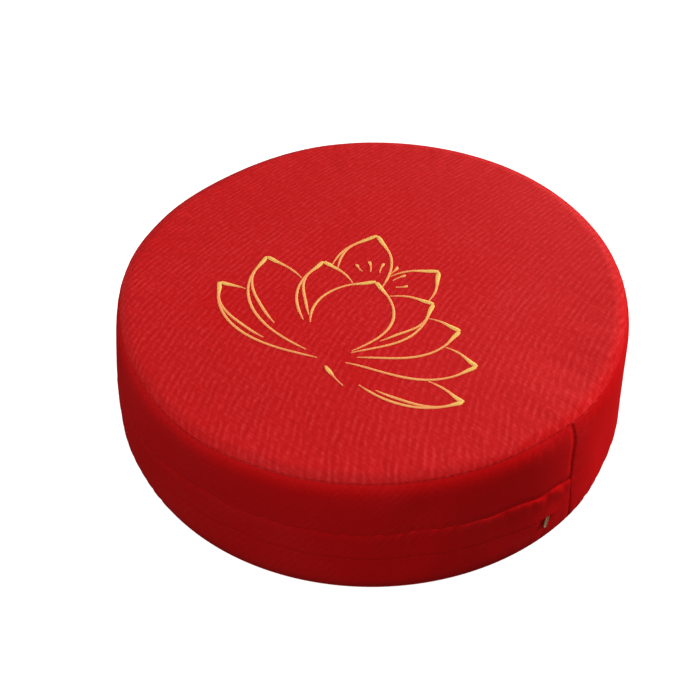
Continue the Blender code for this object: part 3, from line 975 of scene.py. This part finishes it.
def dash_lines():
    """The stamens and the stem: short arcs, widest at one place."""
    lean = math.radians(FLOWER_LEAN)
    axis, right = np.array([math.sin(lean), math.cos(lean)]), np.array([math.cos(lean), -math.sin(lean)])
    found = []
    dashes = [(*row, *STAMEN_SHAPE) for row in STAMENS] + [(*STEM, *STEM_SHAPE)]
    for along, aside, direction, length, bend, peak, least, most in dashes:
        way = np.linspace(0, 1, DASH_STEPS)
        points, _ = petal_line(FLOWER_LEAN + direction, length * MM, bend, way)
        points, way = evenly(points + FLOWER_BASE + (along * axis + aside * right) * MM, way)
        width = least + (most - least) * bell(way, peak, DASH_SWELL_REACH)
        found.append((points, width * MM))
    return found


STITCHED_LINES = petal_lines() + dash_lines()
stitched = sum(len(points) for points, _ in STITCHED_LINES) * STITCH_STEP
print(f"embroidery: {len(STITCHED_LINES)} lines, {stitched:.2f} m in all")

# %% [markdown]
# ## The embroidered lotus: its stitches
#
# Satin stitch lays thread beside thread across the line, slanting a little, so each line is a low rounded
# cord that the light catches. Here a lens-shaped section is carried along every line. Every other row is
# lower, for the dip between two threads, and its edges are as uneven as real stitches. Each point is set
# on the top cloth's own height, so the stitches follow its crown and its puckers.
#
# Rayon thread is smooth, so it is glossier than the cloth. Its tone changes a little from thread to
# thread, which a noise that is stretched across the line gives, and it looks lighter where a line is broad.

# %% Gold thread
THREAD_STOPS = ((0.22, "#FF9458"), (0.75, "#FFD06A"), (0.45, "#FFAE66"))  # deep, light, and the gold
FIBRE = 0.12 * MM
FIBRES_ALONG = 250  # per metre
TONE_SPREAD = 0.7
NARROW, BROAD, BROAD_LIGHTER = 1.6 * MM, 3.2 * MM, 0.34


def gold_thread():
    """Rayon embroidery thread: smooth, bright fibres with a satin gloss, each thread a little different."""
    material, add, shader = new_material("gold rayon embroidery thread")
    place = add("UVMap", uv_map="cloth")
    by_thread = add("Mapping", {"Vector": place, "Scale": (1 / (2 * STITCH_STEP), 0, 1)})
    by_fibre = add("Mapping", {"Vector": place, "Scale": (1 / FIBRE, FIBRES_ALONG, 1)})
    tone, twist = (
        add("TexNoise", {"Vector": pattern, "Scale": scale, "Detail": 1.0})
        for pattern, scale in ((by_thread, 0.9), (by_fibre, 1.0))
    )
    width = add("SeparateXYZ", [place], out=1)
    broad = add("MapRange", {"Value": width, "From Min": NARROW, "From Max": BROAD, "To Max": BROAD_LIGHTER})
    colour = add("ValToRGB", [add("Math", [tone, TONE_SPREAD, broad], operation="MULTIPLY_ADD")])
    set_stops(colour, THREAD_STOPS)
    set_inputs(shader, {
        "Base Color": colour,
        "Normal": add("Bump", {"Height": twist, "Strength": 0.6, "Distance": 0.00005}),
        "Roughness": 0.42,
        "Specular IOR Level": 0.5,
    })
    return material


# %% Embroidery
THREAD_SLANT = math.tan(math.radians(25))
STITCH_ACROSS = np.array([-1, -0.82, -0.45, 0, 0.45, 0.82, 1])
STITCH_SINK = 0.05 * MM
STITCH_UNDER = 0.15 * MM
STITCH_JITTER = 0.07 * MM
DIP_BETWEEN = 0.8
THREAD_HEIGHT, HEIGHT_PER_WIDTH, LENS_POWER = 0.25 * MM, 0.18, 0.6


def satin_line(points, width, random):
    """The closed surface of one stitched line: rows along it, columns over its top and back underneath.

    It stands H = THREAD_HEIGHT + HEIGHT_PER_WIDTH width high, and across it H (1 - q^2)^LENS_POWER for q
    from -1 at the right edge to 1 at the left. Near an end the width shrinks as a circle does.
    """
    run = np.arange(len(points)) * STITCH_STEP
    to_end = np.minimum(run, run[-1] - run)
    width = width + random.normal(0, STITCH_JITTER, len(width))
    round_end = 1 - np.clip(1 - to_end / (width / 2), 0, 1) ** 2
    half = (width / 2 * np.sqrt(round_end))[:, None]
    along = np.gradient(points, axis=0)
    along /= np.hypot(along[:, 0], along[:, 1])[:, None]
    left = np.stack([-along[:, 1], along[:, 0]], -1)
    offset = half * np.concatenate([STITCH_ACROSS, [0]])
    place = points[:, None] + offset[..., None] * (left[:, None] + THREAD_SLANT * along[:, None])
    ridge = np.where(np.arange(len(points)) % 2, DIP_BETWEEN, 1.0) * np.sqrt(round_end)
    stands = ridge * (THREAD_HEIGHT + HEIGHT_PER_WIDTH * width)
    rise = stands[:, None] * (1 - STITCH_ACROSS**2) ** LENS_POWER - STITCH_SINK
    rise = np.concatenate([rise, np.full((len(points), 1), -STITCH_UNDER)], 1)
    place, rise = np.concatenate([place, place[:, :1]], 1), np.concatenate([rise, rise[:, :1]], 1)
    radius = np.hypot(place[..., 0], place[..., 1])
    azimuth = np.degrees(np.arctan2(place[..., 0], -place[..., 1]))
    surface = settled(radius, top_height(radius, azimuth) + rise, azimuth)
    cloth = np.stack(np.broadcast_arrays(run[:, None], width[:, None], surface[..., 0])[:2], -1)
    return surface, cloth


def lotus_embroidery():
    random = np.random.default_rng(101)
    grids = [
        grid_parts(*satin_line(points, width, random), True, True, True) for points, width in STITCHED_LINES
    ]
    stitches = mesh_of("lotus_embroidery", grids, gold_thread())
    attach(stitches, "root")
    print(f"embroidery: {len(stitches.data.polygons)} faces")


lotus_embroidery()

# %% [markdown]
# ## The round bottom
#
# The same disc turned over. The cushion's weight presses it flat on the floor, out to the roll, so nothing
# is left there for puckers to do.

# %% Bottom cover
BOTTOM_FOLD = 0.0010
BOTTOM_ROLL = BOTTOM_SEAM - GAP / 2 - BOTTOM_FOLD
FOOT_RADIUS = SEAM_RADIUS + float(band_out(BOTTOM_SEAM))
BOTTOM_RINGS = 10


def bottom_cover():
    azimuth = np.linspace(0, 360, ROUND_COLUMNS + 1)[None]
    away, inwards = (rows[:, 0] for rows in lip_rows(BOTTOM_FOLD))
    turn = np.linspace(np.pi / 2, 0, ROLL_ROWS + 1)[1:]
    flat = FLAT_RADIUS * crowded(BOTTOM_RINGS, CROWDING)[::-1][1:]
    rolled = FLAT_RADIUS + (FOOT_RADIUS - FLAT_RADIUS) * np.sin(turn)
    radius = np.concatenate([FOOT_RADIUS - inwards, rolled, flat])
    edge = BOTTOM_SEAM - GAP / 2 - away
    height = np.concatenate([edge, BOTTOM_ROLL * (1 - np.cos(turn)), 0 * flat])
    points = settled(radius[:, None], height[:, None], azimuth)
    reach = arc_along(radius, height)
    round_cover("bottom_cover", "bottom_panel", points, reach[-1] - reach, azimuth, False, True)


bottom_cover()

# %% [markdown]
# ## The filling in its plain band
#
# One closed, padded form. Its own side is the plain part of the band, from the upright seam on the right
# round the back to the other one. There its edges turn in at both round seams and at both upright seams.
# Behind the zip side, and under the two faces, the same form lies a few millimetres inside the cloth.

# %% Filled form
UPRIGHT_LIP = 0.0014
COVERED_COLUMNS = 120
PLAIN_COLUMNS = 360
LEDGE_RADIUS = SEAM_RADIUS - 0.0080
LEDGE_RINGS = 9
UNDER_FACE = CLOTH + 0.0004
BAND_ROWS_DOWN = 62


def filled_form():
    covered = np.linspace(ZIP_SIDE_START, ZIP_SIDE_END, COVERED_COLUMNS + 1)
    plain = between_folds(ZIP_SIDE_END, ZIP_SIDE_START + 360, UPRIGHT_LIP, PLAIN_COLUMNS)
    azimuth = np.concatenate([covered, plain, [ZIP_SIDE_START + 360]])[None]
    is_plain = np.isin(azimuth, plain)
    setback = np.where(is_plain, edge_roll(upright_distance(azimuth), UPRIGHT_LIP), BEHIND)

    away, inwards = lip_rows(SEAM_FOLD)
    foot_away, foot_inwards = (rows[::-1] for rows in lip_rows(BOTTOM_FOLD))
    top_edge, foot_edge = TOP_SEAM - SEAM_GAP / 2, BOTTOM_SEAM + GAP / 2
    middle = np.linspace(top_edge - SEAM_FOLD, foot_edge + BOTTOM_FOLD, BAND_ROWS_DOWN)[1:-1, None]
    down = np.concatenate([top_edge - away, middle, foot_edge + foot_away])
    inset = np.concatenate([inwards, 0 * middle, foot_inwards])
    band = on_band(azimuth, down, -inset - setback, is_plain)

    rings = np.linspace(0, 1, LEDGE_RINGS) * LEDGE_RADIUS
    on_top = np.append(rings, LEDGE_RADIUS), np.append(top_section(rings) - UNDER_FACE, top_edge)
    underneath = on_top[0][::-1], np.append(foot_edge, 0 * rings + UNDER_FACE)
    above, below = (
        settled(radius[:, None], height[:, None], azimuth) for radius, height in (on_top, underneath)
    )
    points = np.concatenate([above, band, below])
    cloth = on_cloth(azimuth, points[..., 2])
    form = grid_mesh("filled_form", points, cloth, SHADED_BAND_COVER, True, True, True)
    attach(form, "root")
    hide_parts("filled_cushion")
    print(f"filled form: {len(form.data.polygons)} faces")


filled_form()

# %% [markdown]
# ## The zip side
#
# Three strips, as a maker would cut them. The upper strip ends in the crease. The flap is sewn in there:
# its top edge puffs out in a puckered lip, and its lower edge is folded and hangs free over the zip. The
# lower strip comes out from under it and goes down to the bottom seam. All three share their columns and
# the two lines along them. On the left the crease is a row of short dashes, one for each pull of the
# thread.

# %% Lines along the zip side
STRIP_COLUMNS = 520
STRIP_LIP = 0.0009
CREASE_WANDER, CREASE_WAVES, FREE_EDGE_WAVES = 0.00035, (20, 70, 81), (12, 60, 82)
DASH_DEPTH, DASH_WAVES, DASH_LEAST, DASH_MOST = 0.9, (100, 170, 84), 0.1, 2.4
DASHES_TO, NO_DASHES_FROM = 5, 25  # azimuths

clearance = math.degrees(GAP / 2 / SEAM_RADIUS)
STRIP_AZIMUTH = between_folds(ZIP_SIDE_START + clearance, ZIP_SIDE_END - clearance, STRIP_LIP, STRIP_COLUMNS)
STRIP_AZIMUTH = STRIP_AZIMUTH[None]
STRIP_ENDS = edge_roll(upright_distance(STRIP_AZIMUTH), STRIP_LIP)
CREASE, FREE_EDGE = (
    read_off(FLAP_LINE, STRIP_AZIMUTH, column) + CREASE_WANDER * round_noise(STRIP_AZIMUTH, *waves)
    for column, waves in ((1, CREASE_WAVES), (2, FREE_EDGE_WAVES))
)

dashes_fade = eased(STRIP_AZIMUTH, DASHES_TO, NO_DASHES_FROM)
dashed = np.clip(1 + DASH_DEPTH * round_noise(STRIP_AZIMUTH, *DASH_WAVES), DASH_LEAST, DASH_MOST)
EDGE_SHOWS = read_off(SEAMS_SHOW, STRIP_AZIMUTH, 1)
CREASE_SHOWS = EDGE_SHOWS * (dashed + (1 - dashed) * dashes_fade)


def zip_strip(name, node, height, proud, up=None, thickness=CLOTH):
    """One strip of the zip side, cut as long as the zip side and to its own width.

    Its cloth's own metres go up it as its height does, or as up says.
    """
    points = on_band(STRIP_AZIMUTH, height, proud - STRIP_ENDS)
    cloth = on_cloth(STRIP_AZIMUTH, height if up is None else up)
    strip = one_layer(grid_mesh(name, points, cloth, SHADED_BAND_COVER), node, thickness)


# %% Zip side, upper strip
CREASE_TUCK = 0.0012
CREASE_TUCK_HEIGHT = 0.0070
CREASE_FOLD = 0.0001  # the radius of the fold at the crease where it hardly shows
CREASE_GAP = 0.0001
UPPER_ROWS = 32


def zip_band_upper():
    away, inwards = lip_rows(top_fold(STRIP_AZIMUTH))
    fold = CREASE_FOLD + (LIP - CREASE_FOLD) * EDGE_SHOWS
    foot_away, foot_inwards = (rows[::-1] for rows in lip_rows(fold))
    top = TOP_SEAM - SEAM_GAP / 2 - away
    foot = CREASE + CREASE_GAP / 2 + foot_away
    share = np.linspace(0, 1, UPPER_ROWS)[1:-1, None]
    middle = top[-1] + share * (foot[0] - top[-1])
    height = np.concatenate([top, middle, foot])
    inset = np.concatenate([inwards, 0 * middle, foot_inwards])
    tuck = CREASE_TUCK * CREASE_SHOWS * (1 - eased(height, CREASE, CREASE + CREASE_TUCK_HEIGHT))
    zip_strip("zip_band_upper", "zip_side_upper", height, -inset - tuck)


zip_band_upper()

# %% [markdown]
# The flap's face is a table of how proud it stands on its way down. Its lip puckers most near the upright
# seam on the right, where three seams meet, and the free edge gapes a little where the pull comes out.

# %% Zip side, flap
FLAP_FACE = (  # way down from crease to free edge (0 to 1), how proud of the band where the crease shows
    (0.000, -0.0008), (0.030, 0.0001), (0.080, 0.0008), (0.160, 0.0011),
    (0.300, 0.0009), (0.600, 0.0003), (0.960, 0.0001),
)
FLAP_PROUD = 0.0003  # how proud its free edge stands, where it lies over the lower strip
PROUD_BETWEEN = (0.05, 0.95)  # the ways down between which it comes to stand so
FLAP_PUCKER, FLAP_REACH, FLAP_WAVES, FLAP_DRIFT = 0.00030, 0.0030, (48, 120, 91), 2.0
LIP_EVEN, LIP_NEAR_SEAM, NEAR_SEAM_REACH = 0.55, 0.8, 16  # the lip's puckers, and degrees
CREASE_SET_BACK = 0.0003  # where the crease hardly shows, the flap comes out from behind the upper strip
SET_BACK_TO = 0.25  # of the way down
HARDLY_SHOWS, PLAINLY_SHOWS = 0.1, 0.5
FLAP_CLOTH = 0.0004
FOLD_RADIUS = 0.00045
HEM = 0.0080
FOLD_ROWS, HEM_ROWS = 7, 6
PULL_AZIMUTH = 39.5
FLAP_LIFT = 0.0014
FLAP_LIFT_WIDTH = 4.0
EDGE_WAVE, EDGE_WAVES = 0.0002, (14, 60, 92)
FACE_ROWS = np.concatenate([[0.0], np.linspace(0.004, 0.06, 7), np.linspace(0.08, 0.96, 25)])[:, None]
TURNED_ROWS = np.array([[-0.0030], [-0.0018]])
FLAP_CLOTH_TOP = 0.0600  # where the flap's top edge lies on the cloth it was cut from


def flap_proud(way, drop):
    """How proud of the band the flap's face stands at a way down it, lip, free edge and lift included.

    The lift beside the pull and the free edge's wave grow with the cube of the way.
    """
    face = smooth_table(FLAP_FACE, way) * CREASE_SHOWS + FLAP_PROUD * eased(way, *PROUD_BETWEEN)
    hidden = 1 - eased(EDGE_SHOWS, HARDLY_SHOWS, PLAINLY_SHOWS)
    face = face - CREASE_SET_BACK * (1 - eased(way, 0.0, SET_BACK_TO)) * hidden
    near_seam = bell(STRIP_AZIMUTH, ZIP_SIDE_END, NEAR_SEAM_REACH)
    lip = fan(way * drop, FLAP_REACH) * (LIP_EVEN + LIP_NEAR_SEAM * near_seam) * EDGE_SHOWS
    lip_shape = FLAP_PUCKER * lip * puckers(STRIP_AZIMUTH, way * FLAP_DRIFT, *FLAP_WAVES)
    near_pull = FLAP_LIFT * bell(STRIP_AZIMUTH, PULL_AZIMUTH, FLAP_LIFT_WIDTH)
    edge_wave = EDGE_WAVE * EDGE_SHOWS * round_noise(STRIP_AZIMUTH, *EDGE_WAVES)
    return face + lip_shape + (near_pull + edge_wave) * way**3


def zip_flap():
    """Rows of the turned-in top edge, the face, the folded free edge, and the hem that follows it behind."""
    top = CREASE - CREASE_GAP / 2
    drop = top - FREE_EDGE
    face = flap_proud(FACE_ROWS, drop)
    face_height = top - FACE_ROWS * drop
    turn = np.radians(np.linspace(0, 180, FOLD_ROWS))[1:, None]
    fold = face[-1] - FOLD_RADIUS + FOLD_RADIUS * np.cos(turn)
    fold_height = face_height[-1] - FOLD_RADIUS * np.sin(turn)
    hem_height = fold_height[-1] + HEM * np.linspace(0, 1, HEM_ROWS)[1:, None]
    hem = flap_proud((top - hem_height) / drop, drop) - 2 * FOLD_RADIUS
    proud = np.concatenate([TURNED_ROWS + 0 * top, face, fold, hem])
    height = np.concatenate([0 * TURNED_ROWS + top, face_height, fold_height, hem_height])
    run = np.hypot(np.diff(proud, axis=0), np.diff(height, axis=0)).mean(1)
    down = np.concatenate([[0.0], np.cumsum(run)])[:, None]
    zip_strip(
        "zip_flap", "zip_side_flap", height, proud,
        up=FLAP_CLOTH_TOP - down, thickness=FLAP_CLOTH,
    )


zip_flap()

# %% Zip side, lower strip
OVERLAP = 0.0140  # how far the lower strip goes up behind the flap
LOWER_ROWS = 34
LOWER_DIP = 0.0004
DIP_FROM, DIP_TO = -0.0015, 0.0020  # from the free edge up
PULL_PIT = 0.0013  # the slider behind the zip pull presses the cloth in
PULL_PIT_WIDTH = 1.5
PIT_FROM, PIT_TO = 0.0120, 0.0040  # from the free edge down


def zip_band_lower():
    away, inwards = (rows[::-1] for rows in lip_rows(BOTTOM_FOLD))
    foot = BOTTOM_SEAM + GAP / 2 + away + 0 * CREASE
    start = FREE_EDGE + OVERLAP
    share = np.linspace(0, 1, LOWER_ROWS)[:-1, None]
    height = np.concatenate([start + share * (foot[0] - start), foot])
    inset = np.concatenate([0 * share, inwards])
    dip = LOWER_DIP * eased(height, FREE_EDGE + DIP_FROM, FREE_EDGE + DIP_TO)
    pit = PULL_PIT * bell(STRIP_AZIMUTH, PULL_AZIMUTH, PULL_PIT_WIDTH)
    dip = dip + pit * eased(height, FREE_EDGE - PIT_FROM, FREE_EDGE - PIT_TO)
    zip_strip("zip_band_lower", "zip_side_lower", height, -inset - dip)


zip_band_lower()

# %% [markdown]
# ## The zip pull
#
# All that shows of the zip is its pull: a cast tab with round ends, 11 mm long, that leans out from under
# the flap. Its face is a shallow recess inside a raised rim. It is one section, from the middle of its
# face over the rim and round to the middle of its back, carried round a long outline. Plating wears to a
# brighter metal along the rim, so the colour reads how far in from the edge each point lies.

# %% Zip pull
PULL_HEIGHT = 0.0254
PULL_LENGTH = 0.0110
PULL_WIDTH = 0.0046
PULL_THICKNESS = 0.0012
PULL_LEAN = math.radians(30)
PULL_STAND_OFF = math.radians(11)
PULL_INNER_RADIUS = 0.19955
PULL_SECTION = (  # how far in from the outline, and how far back from the face, in mm
    (1.60, 0.32), (1.05, 0.32), (0.90, 0.24), (0.78, 0.06), (0.66, 0.00), (0.34, 0.00),
    (0.12, 0.07), (0.00, 0.26), (0.00, 0.94), (0.12, 1.13), (0.34, 1.20), (1.60, 1.20),
)
BRONZE_STOPS = ((0.0, "#E8B894"), (1.0, "#A87C5E"))  # rubbed, and in the recess
RUBBED_TO, DULL_FROM, WEAR_SPREAD = 0.3 * MM, 1.2 * MM, 0.5 * MM
CORNER_COLUMNS = 7  # in a quarter of a round end


def aged_bronze():
    """Plated zinc, aged: a metal, dull brown in its recess and rubbed brighter on its rim."""
    material, add, shader = new_material("aged bronze plated zinc")
    place = add("UVMap", uv_map="cloth")
    inwards = add("SeparateXYZ", [place], out=1)
    wear = add("TexNoise", {"Vector": place, "Scale": 2500.0, "Detail": 2.0})
    edge = add("Math", [wear, WEAR_SPREAD, inwards], operation="MULTIPLY_ADD")
    share = add("MapRange", {"Value": edge, "From Min": RUBBED_TO, "From Max": DULL_FROM})
    colour = add("ValToRGB", [share])
    set_stops(colour, BRONZE_STOPS)
    set_inputs(shader, {
        "Base Color": colour,
        "Normal": add("Bump", {"Height": wear, "Strength": 0.3, "Distance": 0.00004}),
        "Metallic": add("Math", [1.0, share], operation="SUBTRACT"),
        "Roughness": 0.45,
    })
    return material


def zip_tab():
    quarter = np.linspace(0, math.pi / 2, CORNER_COLUMNS)
    turn = (quarter + math.pi / 2 * np.arange(4)[:, None]).ravel()
    end = np.repeat([1, -1, -1, 1], len(quarter)) * (PULL_LENGTH - PULL_WIDTH) / 2
    inset, back = np.array(PULL_SECTION).T[..., None] * MM
    radius = PULL_WIDTH / 2 - inset
    outline = radius * np.sin(turn), PULL_THICKNESS - back, radius * np.cos(turn) + end
    rings = np.stack(np.broadcast_arrays(*outline), -1)
    poles = rings[[0, -1]] * [0, 1, 0]
    points = np.concatenate([poles[:1], rings, poles[1:]])
    inset = np.concatenate([[[PULL_WIDTH / 2]], inset, [[PULL_WIDTH / 2]]])
    cloth = np.stack(np.broadcast_arrays(turn * PULL_WIDTH / 2 + end, inset), -1)
    angle = math.radians(PULL_AZIMUTH)
    turned = np.array(Euler((PULL_STAND_OFF, -PULL_LEAN, angle + math.pi), "XYZ").to_matrix())
    place = np.array([math.sin(angle), -math.cos(angle), 0]) * PULL_INNER_RADIUS + [0, 0, PULL_HEIGHT]
    tab = grid_mesh("zip_tab", points @ turned.T + place, cloth, aged_bronze(), True, True, True)
    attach(tab, "root")
    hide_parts("zip_pull")
    print(f"zip pull: {len(tab.data.polygons)} faces")


zip_tab()

# %% [markdown]
# ## Camera
#
# The camera stands where the photographer did: in front, 43 degrees above the floor, with a long lens. Its
# place and turn were fitted to the cushion's outline and its top seam. It aims at the cushion's middle,
# rolls a little, and then turns until the middle lands on its own pixel of the picture.

# %% Camera
FOCAL_PIXELS = 1700.0
IMAGE_PIXELS = 700.0
SENSOR = 36.0  # the sensor's width in mm
CAMERA_ELEVATION = 43.138
CAMERA_ROLL = -0.587
CAMERA_DISTANCE = 1.348
CUSHION_PIXEL = (371.757, 347.896)  # where the middle of the cushion lies in the picture


def stand(name, data, azimuth, elevation, distance, height, own_turn=Quaternion()):
    """Puts a camera or a light where it faces the cushion's axis at a height, and then turns it by itself.

    It stands towards the azimuth and the elevation, which are in degrees, with its upper edge up.
    """
    turn, rise = math.radians(azimuth), math.radians(elevation)
    level = math.cos(rise)
    back = Vector((level * math.sin(turn), -level * math.cos(turn), math.sin(rise)))
    place = Matrix.Translation(distance * back + Vector((0, 0, height)))
    thing = placed(name, data)
    thing.matrix_world = place @ (back.to_track_quat("Z", "Y") @ own_turn).to_matrix().to_4x4()
    return thing


def photo_camera():
    lens = bpy.data.cameras.new("camera")
    lens.sensor_width = SENSOR
    lens.lens = FOCAL_PIXELS * SENSOR / IMAGE_PIXELS
    across, down = (pixel - IMAGE_PIXELS / 2 for pixel in CUSHION_PIXEL)
    aim = Vector((across, -down, -FOCAL_PIXELS)).rotation_difference(Vector((0, 0, -1)))
    own_turn = Quaternion((0, 0, 1), math.radians(CAMERA_ROLL)) @ aim
    camera = stand("camera", lens, 0, CAMERA_ELEVATION, CAMERA_DISTANCE, BAND_MIDDLE, own_turn)
    bpy.context.scene.camera = camera
    print("camera at", [round(value, 3) for value in camera.matrix_world.translation])


photo_camera()

# %% [markdown]
# ## Floor and light
#
# The studio is plain: a pale floor and large soft lights. The strongest comes in low from behind on the
# right, like a window, so the plain side glows, and the front of the band falls into a deep red. Weaker
# ones from above and from the left fill the rest. Only the sheen light shows in gloss, and it draws the
# paler red on the far half of the top. Their powers were fitted to the brightness of places on the cloth.

# %% Floor
FLOOR_HALF = 6.0


def pale_floor():
    """A plain matt floor of painted board, lit a little from within so that shadows on it stay pale."""
    material, _, shader = new_material("matt white paint")
    set_inputs(shader, {
        "Base Color": to_linear("#C8C6C3"),
        "Roughness": 0.9,
        "Specular IOR Level": 0.1,
        "Emission Color": to_linear("#FFFFFF"),
        "Emission Strength": 0.9,
    })
    corners = FLOOR_HALF * np.array([[[-1, 1, 0], [1, 1, 0]], [[-1, -1, 0], [1, -1, 0]]])
    floor = grid_mesh("floor", corners, corners[..., :2], material)
    floor.visible_diffuse = False
    floor.visible_glossy = False


pale_floor()

# %% Lights and surround
AIM_HEIGHT = 0.06
LIGHTS = (
    # azimuth and elevation in degrees, distance, size, power, and whether it shows in gloss
    ("window light", 115, 11, 2.6, 1.0, 74, False),
    ("high light", 10, 55, 2.2, 1.4, 10, False),
    ("front fill", 322, 25, 2.0, 1.2, 6, False),
    ("back fill", 235, 15, 2.4, 1.4, 14, False),
    ("overhead light", -10, 80, 2.2, 1.4, 16.5, False),
    ("sheen light", 150, 24, 2.2, 1.0, 9, True),
)


for name, azimuth, elevation, distance, size, power, in_gloss in LIGHTS:
    light = bpy.data.lights.new(name, "AREA")
    light.size = size
    light.energy = power
    stand(name, light, azimuth, elevation, distance, AIM_HEIGHT).visible_glossy = in_gloss

surround = bpy.data.worlds.new("surround")
surround.use_nodes = True
set_inputs(surround.node_tree.nodes["Background"], {"Color": to_linear("#FFFFFF"), "Strength": 0.125})
bpy.context.scene.world = surround
surround.cycles_visibility.glossy = False
bpy.context.scene.view_settings.view_transform = "Standard"
print(f"{len(LIGHTS)} lights, {sum(row[5] for row in LIGHTS):.0f} W in all")
